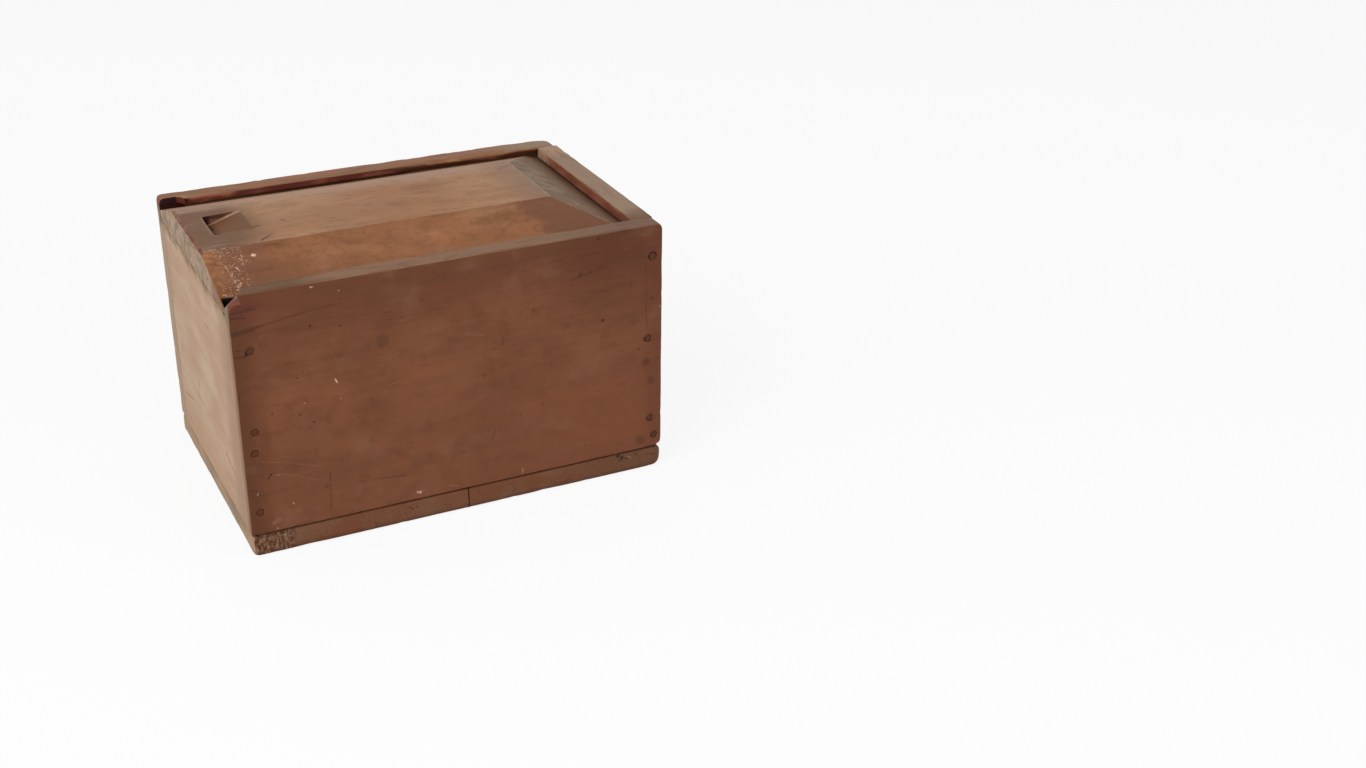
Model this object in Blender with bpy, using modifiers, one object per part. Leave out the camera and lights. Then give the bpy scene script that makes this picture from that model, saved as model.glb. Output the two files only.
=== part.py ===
"""A nailed wooden box whose raised-panel lid slides out over its low end.

X runs from the near end, which the lid passes over, to the far end. Y runs from the front to the
rear, and Z up from the surface that the box stands on. The origin is the middle of its underside.
All sizes are in metres.
"""
import math

import bmesh
import bpy
from mathutils import Matrix, Vector

# The case
LENGTH = 0.3600
WIDTH = 0.2410
SIDE_HEIGHT = 0.2060
SIDE_THICK = 0.0190
END_THICK = 0.0190
BASE_THICK = 0.0195
BASE_OVERSAIL = 0.0008
BASE_SEAM = 0.1818
NEAR_END_DROP = 0.0190
FAR_END_DROP = 0.0006
SEAT_GAP = 0.0003

# The ploughed grooves, and the lips that the side boards keep above them
GROOVE_DEPTH = 0.0070
SIDE_LIP = 0.0060
FAR_LIP = 0.0105

# The lid: a flat field in the middle, planed down to a thin edge on three sides
LID_RUN = 0.0005
TONGUE_DEPTH = 0.0065
FIELD_RISE = 0.0080
FRONT_BEVEL = 0.0590
REAR_BEVEL = 0.0478
FAR_BEVEL = 0.0476
FRONT_BEVEL_FOOT_DROP = 0.0125
REAR_BEVEL_FOOT_DROP = 0.0076
FAR_BEVEL_FOOT_DROP = 0.0114
FIELD_CHAMFER = 0.0024

# The thumb notch chiselled in the field
NOTCH_LENGTH = 0.0312
NOTCH_WIDTH = 0.0425
NOTCH_DEPTH = 0.0100
NOTCH_SETBACK = 0.0188
NOTCH_OFFSET = 0.0104
NOTCH_SKEW = 0.0026

# Worn and broken edges
ARRIS = 0.0010
LID_ARRIS = 0.0005
CORNER_REACH = 0.0040
CORNER_DROP = 0.0040
WORN_CORNER_REACH = 0.0340
WORN_CORNER_DROP = 0.0036
FRONT_BREAK_OUTER_REACH = 0.0080
FRONT_BREAK_INNER_REACH = 0.0200
FRONT_BREAK_DROP = 0.0068
FRONT_SPLINTER_REACH = 0.0096
FRONT_SPLINTER_DROP = 0.0074
FRONT_SPLINTER_DEPTH = 0.0088
WORN_LIP_REACH = 0.1350
WORN_LIP_DROP = 0.0026
REAR_BREAK_INNER_REACH = 0.0200
REAR_BREAK_OUTER_REACH = 0.0150
REAR_BREAK_LEDGE = 0.0006
LID_CHIP_LENGTH = 0.0145
LID_CHIP_RIM = 0.0011
LID_CHIP_NEAR_DEPTH = 0.0124
LID_CHIP_FAR_DEPTH = 0.0108
BASE_UPPER_ROUND = 0.0050
BASE_NEAR_LOWER_ROUND = 0.0055
BASE_FAR_LOWER_ROUND = 0.0110
BASE_LONG_ROUND = 0.0045

# The nails
NAIL_LENGTH = 0.0500
NAIL_POINT = 0.0060
NAIL_SHANK_RADIUS = 0.0014
NAIL_HEAD_RADIUS = 0.0029
NAIL_HEAD_THICK = 0.0012
NAIL_SUNK = 0.0007
NAIL_CLEARANCE = 0.0003
BASE_NAIL_INSET = 0.0300
BASE_END_NAIL_INSET = 0.0125
BASE_END_NAIL_SPREAD = 0.0455

# Each side nail's place: its share of the end's thickness, and of the side's height
NEAR_NAIL_SHARES = ((0.45, 0.097), (0.48, 0.352), (0.57, 0.439), (0.71, 0.772))
FAR_NAIL_SHARES = ((0.37, 0.056), (0.57, 0.139), (0.68, 0.508), (0.47, 0.867))

# Counts, angles and tolerances
NAIL_SIDES = 12
CORNER_STEPS = 6
ARRIS_STEPS = 2
ROUND_STEPS = 4
NAILS_PER_BASE_EDGE = 3
ARRIS_ANGLE = math.radians(50)
FLAT_ANGLE = math.radians(0.5)
CUT_OVERRUN = 0.0020
MERGE = 0.00001

# Levels above the standing surface, and faces measured from the middle of the box
SIDE_FOOT = BASE_THICK + SEAT_GAP
SIDE_TOP = SIDE_FOOT + SIDE_HEIGHT
NEAR_END_TOP = SIDE_TOP - NEAR_END_DROP
LID_UNDERSIDE = NEAR_END_TOP + LID_RUN
GROOVE_FLOOR = LID_UNDERSIDE - SEAT_GAP
LID_THICK = SIDE_TOP + FIELD_RISE - LID_UNDERSIDE
INNER_HALF_WIDTH = WIDTH / 2 - SIDE_THICK
INNER_FAR = LENGTH / 2 - END_THICK
END_WIDTH = 2 * (INNER_HALF_WIDTH - SEAT_GAP)
LID_LENGTH = LENGTH - END_THICK + TONGUE_DEPTH
LID_HALF_WIDTH = INNER_HALF_WIDTH + TONGUE_DEPTH

# Paint and bare wood, as linear colours
BROWN_STAIN = (0.171, 0.065, 0.034)
DARK_STAIN = (0.150, 0.058, 0.032)
RUBBED_TAN = (0.305, 0.171, 0.107)
BARE_TAN = (0.392, 0.258, 0.168)
BASE_BROWN = (0.140, 0.064, 0.038)
RUSTED_IRON = (0.045, 0.026, 0.019)


def collection(name):
    group = bpy.data.collections.get(name) or bpy.data.collections.new(name)
    if group.name not in bpy.context.scene.collection.children:
        bpy.context.scene.collection.children.link(group)
    return group


for leftover in list(bpy.data.objects):
    bpy.data.objects.remove(leftover, do_unlink=True)
PARTS = collection("sliding_lid_box")
CUTTERS = collection("cutters")


def finish(mesh, colour, roughness, metallic=0):
    material = bpy.data.materials.new(mesh.name + "_finish")
    material.use_nodes = True
    shader = material.node_tree.nodes["Principled BSDF"]
    shader.inputs["Base Color"].default_value = (*colour, 1)
    shader.inputs["Roughness"].default_value = roughness
    shader.inputs["Metallic"].default_value = metallic
    material.diffuse_color = (*colour, 1)
    mesh.materials.append(material)


def evaluated_mesh(source):
    bpy.context.view_layer.update()
    depsgraph = bpy.context.evaluated_depsgraph_get()
    return bpy.data.meshes.new_from_object(source.evaluated_get(depsgraph))


def piece_from(bm, name, location, group=PARTS):
    """Turns an edited mesh into a named object, closed and facing outwards."""
    bmesh.ops.recalc_face_normals(bm, faces=bm.faces)
    mesh = bpy.data.meshes.new(name)
    bm.to_mesh(mesh)
    bm.free()
    piece = bpy.data.objects.new(name, mesh)
    piece.location = location
    group.objects.link(piece)
    return piece


def sawn_block(low, high):
    """A box between two corners, as an edited mesh about its own middle, and that middle."""
    bm = bmesh.new()
    bmesh.ops.create_cube(bm, size=1)
    bmesh.ops.scale(bm, vec=Vector(high) - Vector(low), verts=bm.verts)
    return bm, (Vector(high) + Vector(low)) / 2


def board(name, low, high):
    bm, middle = sawn_block(low, high)
    piece = piece_from(bm, name, middle)
    ease_arrises(piece, ARRIS)
    return piece


def cutter(bm, name, location):
    tool = piece_from(bm, name, location, CUTTERS)
    tool.hide_render = True
    tool.display_type = "WIRE"
    return tool


def block_cutter(name, low, high):
    bm, middle = sawn_block(low, high)
    return cutter(bm, name, middle)


def cut(piece, tool):
    boolean = piece.modifiers.new(tool.name, "BOOLEAN")
    boolean.operation = "DIFFERENCE"
    boolean.solver = "EXACT"
    boolean.object = tool


def ease_arrises(piece, width):
    bevel = piece.modifiers.new("eased_arrises", "BEVEL")
    bevel.width = width
    bevel.segments = ARRIS_STEPS
    bevel.limit_method = "ANGLE"
    bevel.angle_limit = ARRIS_ANGLE


def plane_off(bm, point, normal):
    """Planes away all that lies in front of a plane, and closes the new face."""
    geometry = bm.verts[:] + bm.edges[:] + bm.faces[:]
    planed = bmesh.ops.bisect_plane(
        bm, geom=geometry, plane_co=point, plane_no=normal, clear_outer=True)
    rim = [item for item in planed["geom_cut"] if isinstance(item, bmesh.types.BMEdge)]
    bmesh.ops.edgeloop_fill(bm, edges=rim)


def worn_corner(end, top, reach, drop):
    """Points from the top edge round to the board's end, on a quarter of an ellipse."""
    inward = -math.copysign(reach, end)
    points = []
    for step in range(CORNER_STEPS + 1):
        turn = math.pi / 2 * step / CORNER_STEPS
        points.append((end + inward * (1 - math.sin(turn)), top - drop * (1 - math.cos(turn))))
    return points


def side_board(name, middle_y, far_reach, far_drop):
    """A side board sawn to its outline in XZ, with its two top corners worn round."""
    half = LENGTH / 2
    far_corner = worn_corner(half, SIDE_HEIGHT, far_reach, far_drop)
    near_corner = worn_corner(-half, SIDE_HEIGHT, CORNER_REACH, CORNER_DROP)
    outline = [(-half, 0), (half, 0)] + far_corner[::-1] + near_corner
    curve = bpy.data.curves.new(name + "_outline", "CURVE")
    curve.dimensions = "2D"
    curve.fill_mode = "BOTH"
    curve.extrude = SIDE_THICK / 2
    spline = curve.splines.new("POLY")
    spline.points.add(len(outline) - 1)
    for point, (across, up) in zip(spline.points, outline):
        point.co = (across, up, 0, 1)
    spline.use_cyclic_u = True
    pattern = bpy.data.objects.new(name + "_outline", curve)
    pattern.location = (0, middle_y, SIDE_FOOT)
    pattern.rotation_euler = (math.pi / 2, 0, 0)
    CUTTERS.objects.link(pattern)
    bm = bmesh.new()
    bm.from_mesh(evaluated_mesh(pattern))
    bmesh.ops.remove_doubles(bm, verts=bm.verts, dist=MERGE)
    bmesh.ops.dissolve_limit(bm, angle_limit=FLAT_ANGLE, verts=bm.verts, edges=bm.edges)
    piece = piece_from(bm, name, (0, 0, 0))
    piece.matrix_world = pattern.matrix_world
    bpy.data.objects.remove(pattern)
    ease_arrises(piece, ARRIS)
    return piece


def groove_cutter(name, low_y, high_y):
    """The space that the plough leaves along a side board, stopped inside the far end's joint."""
    low = (-LENGTH / 2 - CUT_OVERRUN, low_y, GROOVE_FLOOR)
    high = (INNER_FAR + GROOVE_DEPTH, high_y, SIDE_TOP - SIDE_LIP)
    return block_cutter(name, low, high)


def facet_cutter(name, low, high, facet):
    """What lies between two corners and clear of a facet, which is given by three of its points.

    Seen from the wood that stays, the three points run anticlockwise.
    """
    bm, middle = sawn_block(low, high)
    first, second, third = (Vector(point) - middle for point in facet)
    plane_off(bm, first, (second - first).cross(third - first))
    return cutter(bm, name, middle)


def front_break_cutter():
    """The corner of the front lip has split off along one facet, down into the groove."""
    near = -LENGTH / 2
    outer = -WIDTH / 2
    inner = -INNER_HALF_WIDTH
    far_reach = near + FRONT_BREAK_INNER_REACH
    outer_top = (near + FRONT_BREAK_OUTER_REACH, outer, SIDE_TOP)
    outer_end = (near, outer, SIDE_TOP - FRONT_BREAK_DROP)
    inner_top = (far_reach, inner, SIDE_TOP)
    return facet_cutter(
        "front_break",
        (near - CUT_OVERRUN, outer - CUT_OVERRUN, GROOVE_FLOOR),
        (far_reach + CUT_OVERRUN, inner + CUT_OVERRUN, SIDE_TOP + CUT_OVERRUN),
        (outer_top, outer_end, inner_top))


def front_splinter_cutter():
    """A splinter has come off the front arris beside that break, and left a steep facet."""
    near = -LENGTH / 2
    outer = -WIDTH / 2
    far_reach = near + FRONT_SPLINTER_REACH
    foot = SIDE_TOP - FRONT_SPLINTER_DROP
    rise = outer + FRONT_SPLINTER_DEPTH
    return facet_cutter(
        "front_splinter",
        (near - CUT_OVERRUN, outer - CUT_OVERRUN, foot),
        (far_reach, rise, SIDE_TOP + CUT_OVERRUN),
        ((far_reach, outer, foot), (near, outer, foot), (near, rise, SIDE_TOP)))


def worn_lip_cutter():
    """Hands have worn the front lip down towards the near end and the inside."""
    near = -LENGTH / 2
    outer = -WIDTH / 2
    inner = -INNER_HALF_WIDTH
    far_reach = near + WORN_LIP_REACH
    return facet_cutter(
        "worn_lip",
        (near - CUT_OVERRUN, outer, SIDE_TOP - SIDE_LIP),
        (far_reach + CUT_OVERRUN, inner + CUT_OVERRUN, SIDE_TOP + CUT_OVERRUN),
        ((far_reach, inner, SIDE_TOP), (near, outer + ARRIS, SIDE_TOP),
         (near, inner, SIDE_TOP - WORN_LIP_DROP)))


def rear_break_cutter():
    """The rear lip is gone beside the near end, as far in as the groove goes."""
    near = -LENGTH / 2
    inner = INNER_HALF_WIDTH
    underside = SIDE_TOP - SIDE_LIP
    inner_reach = near + REAR_BREAK_INNER_REACH
    outer_reach = near + REAR_BREAK_OUTER_REACH
    return facet_cutter(
        "rear_break",
        (near - CUT_OVERRUN, inner - CUT_OVERRUN, underside - CUT_OVERRUN),
        (inner_reach + CUT_OVERRUN, inner + GROOVE_DEPTH - REAR_BREAK_LEDGE, SIDE_TOP + CUT_OVERRUN),
        ((inner_reach, inner, underside), (outer_reach, inner + GROOVE_DEPTH, underside),
         (inner_reach, inner, SIDE_TOP)))


def base_board(name, near_x, far_x, outer_sign, lower_round):
    """One of the two boards under the case, rounded along its outer end."""
    half_width = WIDTH / 2 + BASE_OVERSAIL
    bm, middle = sawn_block((near_x, -half_width, 0), (far_x, half_width, BASE_THICK))
    weights = bm.edges.layers.float.new("bevel_weight_edge")
    widest = max(lower_round, BASE_UPPER_ROUND, BASE_LONG_ROUND, ARRIS)
    for edge in bm.edges:
        place = (edge.verts[0].co + edge.verts[1].co) / 2
        at_outer_end = place.x * outer_sign > 0
        if abs(place.y) < MERGE:
            end_radius = BASE_UPPER_ROUND if place.z > 0 else lower_round
            radius = end_radius if at_outer_end else ARRIS
        elif abs(place.z) < MERGE:
            radius = BASE_LONG_ROUND if at_outer_end else ARRIS
        else:
            radius = BASE_LONG_ROUND if place.z < 0 else ARRIS
        edge[weights] = radius / widest
    piece = piece_from(bm, name, middle)
    bevel = piece.modifiers.new("rounded_edges", "BEVEL")
    bevel.width = widest
    bevel.segments = ROUND_STEPS
    bevel.limit_method = "WEIGHT"
    return piece


def lid_blank():
    """The lid planed to shape: a raised field, three bevels that meet in hips, and a chamfer."""
    bm = bmesh.new()
    bmesh.ops.create_cube(bm, size=1)
    bmesh.ops.scale(bm, vec=(LID_LENGTH, 2 * LID_HALF_WIDTH, LID_THICK), verts=bm.verts)
    bmesh.ops.translate(bm, vec=(LID_LENGTH / 2, 0, LID_THICK / 2), verts=bm.verts)
    front_fall = FIELD_RISE + FRONT_BEVEL_FOOT_DROP
    front_arris = Vector((0, FRONT_BEVEL - INNER_HALF_WIDTH, LID_THICK))
    plane_off(bm, front_arris, Vector((0, -front_fall, FRONT_BEVEL)))
    rear_fall = FIELD_RISE + REAR_BEVEL_FOOT_DROP
    rear_arris = Vector((0, INNER_HALF_WIDTH - REAR_BEVEL, LID_THICK))
    plane_off(bm, rear_arris, Vector((0, rear_fall, REAR_BEVEL)))
    far_fall = FIELD_RISE + FAR_BEVEL_FOOT_DROP
    far_arris = Vector((LENGTH - END_THICK - FAR_BEVEL, 0, LID_THICK))
    plane_off(bm, far_arris, Vector((far_fall, 0, FAR_BEVEL)))
    chamfer_foot = Vector((0, 0, LID_THICK - FIELD_CHAMFER))
    plane_off(bm, chamfer_foot, Vector((-FIELD_CHAMFER, 0, FIELD_CHAMFER)))
    return bm


def notch_cutter():
    """The chiselled thumb notch: a steep near wall and a floor that ramps up to nothing."""
    bm = bmesh.new()
    bmesh.ops.create_cube(bm, size=1)
    slope_overrun = NOTCH_LENGTH * CUT_OVERRUN / NOTCH_DEPTH
    for vertex in bm.verts:
        at_near_wall = vertex.co.x < 0
        across = -NOTCH_LENGTH / 2 if at_near_wall else NOTCH_LENGTH / 2 + slope_overrun
        shift = NOTCH_SKEW * vertex.co.x
        floor = -NOTCH_DEPTH if at_near_wall else CUT_OVERRUN
        top = 2 * CUT_OVERRUN
        height = top if vertex.co.z > 0 else floor
        vertex.co = (across, NOTCH_WIDTH * vertex.co.y + shift, height)
    middle_x = -LENGTH / 2 + NOTCH_SETBACK + NOTCH_LENGTH / 2
    return cutter(bm, "thumb_notch", (middle_x, NOTCH_OFFSET, LID_UNDERSIDE + LID_THICK))


def lid_chip_cutter():
    """The hole where the tongue is lost beside the broken front lip, with a rim left at its end."""
    edge = -LID_HALF_WIDTH
    near = -LENGTH / 2
    near_y = edge + LID_CHIP_NEAR_DEPTH
    far_reach = near + LID_CHIP_LENGTH
    return facet_cutter(
        "lid_chip",
        (near + LID_CHIP_RIM, edge - CUT_OVERRUN, LID_UNDERSIDE - CUT_OVERRUN),
        (far_reach, near_y + CUT_OVERRUN, SIDE_TOP),
        ((near, near_y, SIDE_TOP), (far_reach, edge + LID_CHIP_FAR_DEPTH, SIDE_TOP),
         (near, near_y, LID_UNDERSIDE)))


def turned(name, profile):
    """The mesh of a profile of (radius, height) points turned about Z."""
    mesh = bpy.data.meshes.new(name)
    points = [(radius, 0, height) for radius, height in profile]
    mesh.from_pydata(points, [(index, index + 1) for index in range(len(points) - 1)], [])
    blank = bpy.data.objects.new(name, mesh)
    CUTTERS.objects.link(blank)
    screw = blank.modifiers.new("turn", "SCREW")
    screw.axis = "Z"
    screw.steps = NAIL_SIDES
    screw.render_steps = NAIL_SIDES
    screw.use_merge_vertices = True
    screw.merge_threshold = MERGE
    result = evaluated_mesh(blank)
    bpy.data.objects.remove(blank)
    return result


def nail_profile():
    head_foot = -NAIL_SUNK - NAIL_HEAD_THICK
    return [
        (0, -NAIL_SUNK),
        (NAIL_HEAD_RADIUS, -NAIL_SUNK),
        (NAIL_HEAD_RADIUS, head_foot),
        (NAIL_SHANK_RADIUS, head_foot),
        (NAIL_SHANK_RADIUS, NAIL_POINT - NAIL_LENGTH),
        (0, -NAIL_LENGTH),
    ]


def hole_profile():
    head_foot = -NAIL_SUNK - NAIL_HEAD_THICK - NAIL_CLEARANCE
    head_radius = NAIL_HEAD_RADIUS + NAIL_CLEARANCE
    shank_radius = NAIL_SHANK_RADIUS + NAIL_CLEARANCE
    return [
        (0, CUT_OVERRUN),
        (head_radius, CUT_OVERRUN),
        (head_radius, head_foot),
        (shank_radius, head_foot),
        (shank_radius, NAIL_POINT - NAIL_LENGTH - NAIL_CLEARANCE),
        (0, -NAIL_LENGTH - NAIL_CLEARANCE),
    ]


def aimed_copies(mesh, places, outward):
    """One edited mesh of copies of a turned mesh at several places, all facing outwards."""
    aim = Vector(outward).to_track_quat("Z", "Y").to_matrix().to_4x4()
    bm = bmesh.new()
    for place in places:
        before = len(bm.verts)
        bm.from_mesh(mesh)
        bm.verts.ensure_lookup_table()
        bmesh.ops.transform(bm, matrix=Matrix.Translation(place) @ aim, verts=bm.verts[before:])
    return bm


def drive_nails(name, places, outward, through):
    """A row of nails, each its own object, in holes bored through the boards they join."""
    places = [Vector(place) for place in places]
    for number, place in enumerate(places, 1):
        nail = bpy.data.objects.new(f"{name}_{number}", NAIL_MESH)
        nail.location = place
        nail.rotation_euler = Vector(outward).to_track_quat("Z", "Y").to_euler()
        PARTS.objects.link(nail)
    holes = cutter(aimed_copies(HOLE_MESH, places, outward), name + "_holes", (0, 0, 0))
    for piece in through:
        cut(piece, holes)


def evenly(first, last, count):
    return [first + (last - first) * index / (count - 1) for index in range(count)]


# The case: two full-length sides, two ends between them, and two boards beneath
front_side = side_board("front_side", SIDE_THICK / 2 - WIDTH / 2, CORNER_REACH, CORNER_DROP)
rear_side = side_board("rear_side", WIDTH / 2 - SIDE_THICK / 2, WORN_CORNER_REACH, WORN_CORNER_DROP)
near_end = board(
    "near_end",
    (-LENGTH / 2, -END_WIDTH / 2, SIDE_FOOT),
    (-LENGTH / 2 + END_THICK, END_WIDTH / 2, NEAR_END_TOP))
far_end = board(
    "far_end",
    (INNER_FAR, -END_WIDTH / 2, SIDE_FOOT),
    (LENGTH / 2, END_WIDTH / 2, SIDE_TOP - FAR_END_DROP))
seam_x = BASE_SEAM - LENGTH / 2
base_board_near = base_board(
    "base_board_near", -LENGTH / 2, seam_x - SEAT_GAP / 2, -1, BASE_NEAR_LOWER_ROUND)
base_board_far = base_board(
    "base_board_far", seam_x + SEAT_GAP / 2, LENGTH / 2, 1, BASE_FAR_LOWER_ROUND)

# The grooves that carry the lid, and the worn and broken lips
cut(front_side, groove_cutter(
    "front_groove", -INNER_HALF_WIDTH - GROOVE_DEPTH, -INNER_HALF_WIDTH + CUT_OVERRUN))
cut(rear_side, groove_cutter(
    "rear_groove", INNER_HALF_WIDTH - CUT_OVERRUN, INNER_HALF_WIDTH + GROOVE_DEPTH))
cut(far_end, block_cutter(
    "far_groove",
    (INNER_FAR - CUT_OVERRUN, -END_WIDTH / 2 - CUT_OVERRUN, GROOVE_FLOOR),
    (INNER_FAR + GROOVE_DEPTH, END_WIDTH / 2 + CUT_OVERRUN, SIDE_TOP - FAR_LIP)))
cut(front_side, worn_lip_cutter())
cut(front_side, front_break_cutter())
cut(front_side, front_splinter_cutter())
cut(rear_side, rear_break_cutter())

# The lid, on an empty that travels along its slide axis
lid_slide = bpy.data.objects.new("lid_slide", None)
lid_slide.empty_display_size = LID_THICK
lid_slide.location = (-LENGTH / 2, 0, LID_UNDERSIDE)
PARTS.objects.link(lid_slide)
sliding_lid = piece_from(lid_blank(), "sliding_lid", (0, 0, 0))
sliding_lid.parent = lid_slide
ease_arrises(sliding_lid, LID_ARRIS)
cut(sliding_lid, notch_cutter())
cut(sliding_lid, lid_chip_cutter())

# The nails: through the sides into the ends, and up through the base into the sides and ends
NAIL_MESH = turned("nail", nail_profile())
NAIL_MESH.shade_smooth()
NAIL_MESH.set_sharp_from_angle(angle=ARRIS_ANGLE)
finish(NAIL_MESH, RUSTED_IRON, 0.7, 0.6)
HOLE_MESH = turned("nail_hole", hole_profile())
for side, side_name, outward_y in ((front_side, "front", -1), (rear_side, "rear", 1)):
    for end, end_name, outward_x, shares in (
            (near_end, "near", -1, NEAR_NAIL_SHARES), (far_end, "far", 1, FAR_NAIL_SHARES)):
        places = [
            (outward_x * (LENGTH / 2 - END_THICK * in_share), outward_y * WIDTH / 2,
             SIDE_FOOT + SIDE_HEIGHT * up_share)
            for in_share, up_share in shares]
        drive_nails("nail_" + side_name + "_" + end_name, places, (0, outward_y, 0), (side, end))
    nail_y = outward_y * (WIDTH - SIDE_THICK) / 2
    runs = evenly(BASE_NAIL_INSET - LENGTH / 2, seam_x - BASE_NAIL_INSET, NAILS_PER_BASE_EDGE)
    runs += evenly(seam_x + BASE_NAIL_INSET, LENGTH / 2 - BASE_NAIL_INSET, NAILS_PER_BASE_EDGE)
    drive_nails(
        "nail_base_" + side_name, [(run, nail_y, 0) for run in runs], (0, 0, -1),
        (base_board_near, base_board_far, side))
for end, end_name, outward_x, under in (
        (near_end, "near", -1, base_board_near), (far_end, "far", 1, base_board_far)):
    nail_x = outward_x * (LENGTH / 2 - BASE_END_NAIL_INSET)
    spread = evenly(-BASE_END_NAIL_SPREAD, BASE_END_NAIL_SPREAD, NAILS_PER_BASE_EDGE)
    drive_nails(
        "nail_base_" + end_name, [(nail_x, across, 0) for across in spread], (0, 0, -1), (under, end))

finish(front_side.data, BROWN_STAIN, 0.6)
finish(rear_side.data, DARK_STAIN, 0.6)
finish(near_end.data, BARE_TAN, 0.65)
finish(far_end.data, DARK_STAIN, 0.6)
finish(base_board_near.data, BASE_BROWN, 0.7)
finish(base_board_far.data, BASE_BROWN, 0.7)
finish(sliding_lid.data, RUBBED_TAN, 0.55)
bpy.context.view_layer.update()
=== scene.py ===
"""Dresses the sliding lid box in old stain, rubbed and bare wood, rust and wear, in a plain studio.

X runs from the near end, which the lid passes over, to the far end, Y from the front to the rear,
and Z up. All sizes are in metres, and the tables of marks are in millimetres.
"""
import math

import bmesh
import bpy
from mathutils import Matrix, Vector, kdtree, noise


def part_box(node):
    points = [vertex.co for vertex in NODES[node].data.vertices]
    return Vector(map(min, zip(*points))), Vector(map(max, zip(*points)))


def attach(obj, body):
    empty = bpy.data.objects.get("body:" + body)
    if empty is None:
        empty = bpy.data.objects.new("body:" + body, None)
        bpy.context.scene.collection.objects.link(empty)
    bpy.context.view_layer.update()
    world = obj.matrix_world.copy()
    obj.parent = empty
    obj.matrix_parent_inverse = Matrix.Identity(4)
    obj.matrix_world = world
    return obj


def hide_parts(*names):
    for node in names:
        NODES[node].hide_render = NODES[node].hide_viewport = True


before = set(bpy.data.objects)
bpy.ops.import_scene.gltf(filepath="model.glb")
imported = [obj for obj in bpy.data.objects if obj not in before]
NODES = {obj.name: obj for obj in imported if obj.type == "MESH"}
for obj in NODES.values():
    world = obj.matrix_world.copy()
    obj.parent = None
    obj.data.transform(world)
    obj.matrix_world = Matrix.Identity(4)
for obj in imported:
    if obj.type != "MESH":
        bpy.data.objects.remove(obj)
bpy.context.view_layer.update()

MM = 0.001
X, Y, Z = range(3)

# The boards' faces, from the frame
FRONT_LOW, FRONT_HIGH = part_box("front_side")
REAR_LOW, REAR_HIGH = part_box("rear_side")
NEAR_LOW, NEAR_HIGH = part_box("near_end")
FAR_LOW, FAR_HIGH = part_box("far_end")
BASE_LOW, BASE_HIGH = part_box("base_board_near")
RAIL_TOP = FRONT_HIGH.z
FRONT_FACE = FRONT_LOW.y
NEAR_FACE = NEAR_LOW.x
NEAR_TOP = NEAR_HIGH.z
BASE_FACE = BASE_LOW.y
BASE_TOP = BASE_HIGH.z
FIELD_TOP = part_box("sliding_lid")[1].z

# The lid's field, its bevels and the thumb notch
FIELD_FRONT = -42.5 * MM
FIELD_REAR = 53.7 * MM
FIELD_FAR = 113.4 * MM
BEVEL_FOOT = (161.0 * MM, -98.3 * MM, 214.4 * MM)
REAR_FOOT = (161.0 * MM, 101.5 * MM, 214.4 * MM)
NOTCH_NEAR, NOTCH_FAR = -161.2 * MM, -130.0 * MM
NOTCH_FRONT, NOTCH_REAR = -10.9 * MM, 31.7 * MM
NOTCH_BOTTOM = FIELD_TOP - 10 * MM
NOTCH_RAMP = 10 * MM / (NOTCH_FAR - NOTCH_NEAR)
BEVEL_SLOPE = 20.5 / 59
SKIN = 0.5 * MM

# Wear on the boards' arrises: how deep, how far in, and the lumps of its noise to a metre
WEAR_CELL = 4.5 * MM
WEAR_REACH = 3.5 * MM
WEAR_EVERYWHERE = 0.12 * MM
WEAR_PATCH, PATCH_SCALE = 0.75 * MM, 34
WEAR_NICK, NICK_SCALE, NICK_FLOOR = 0.9 * MM, 150, 0.15
ARRIS_SAMPLE = 1.5 * MM
SLIVER = 0.02 * MM
LEAST_ARRIS = math.radians(14)
SOFT_SHADING = math.radians(50)
LID_SHADING = math.radians(30)

# Grain, as lumps of noise to a metre and how far they are drawn out along the board
FINE_SCALE, FINE_STRETCH = 1100, 22
BROAD_SCALE, BROAD_STRETCH = 130, 14
RAGGED_SCALE, RAGGED_REACH = 900, 2.6 * MM
RING_DRIFT = 36 * MM
RING_LEAN = 0.02
FINE_SHADE, BROAD_SHADE, LATE_SHADE = 0.2, 0.2, 0.05
# The relief's depths, in millimetres
FINE_RELIEF, BROAD_RELIEF, LATE_RELIEF, MARK_DEPTH = 0.07, 0.08, 0.02, 0.3

# The studio
WHITE = (1, 1, 1)
FLOOR_PALE = (0.86, 0.86, 0.86)
FLOOR_HALF = 8.0
FLOOR_GAP = 0.2 * MM
FLOOR_GLOW = 0.88
AMBIENT = 0.5
AIM = (0, 0, 0.1)
# Each lamp's name, place, size and power
KEY = ("key", (-1.5, -1.1, 1.7), 1.3, 34)
FILL = ("fill", (1.2, -1.9, 0.9), 1.6, 12)

# The camera, as solved from the box's own corners in the photograph
PHOTO_WIDTH = 1366
CAMERA_PLACE = (-0.4334364, -1.3510341, 0.7593856)
CAMERA_AZIMUTH = math.radians(-27.268276)
CAMERA_ELEVATION = math.radians(26.332759)
CAMERA_ROLL = 0.0153966
FOCAL_PIXELS = 1788.3189
SENSOR_MM = 36

# How much old wood shines, and how pale that makes it look
SHEEN_LEVEL = 0.2
SHEEN = 0.013
DARKEST = 0.0015


def srgb(red, green, blue):
    """A colour as it looks on a screen, from 0 to 255, made linear."""
    def linear(value):
        value /= 255
        return value / 12.92 if value <= 0.04045 else ((value + 0.055) / 1.055) ** 2.4
    return linear(red), linear(green), linear(blue)


def wood(red, green, blue):
    """The colour of wood that looks like this on a screen, once its sheen is taken off."""
    return tuple(max(channel - SHEEN, DARKEST) for channel in srgb(red, green, blue))


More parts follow.
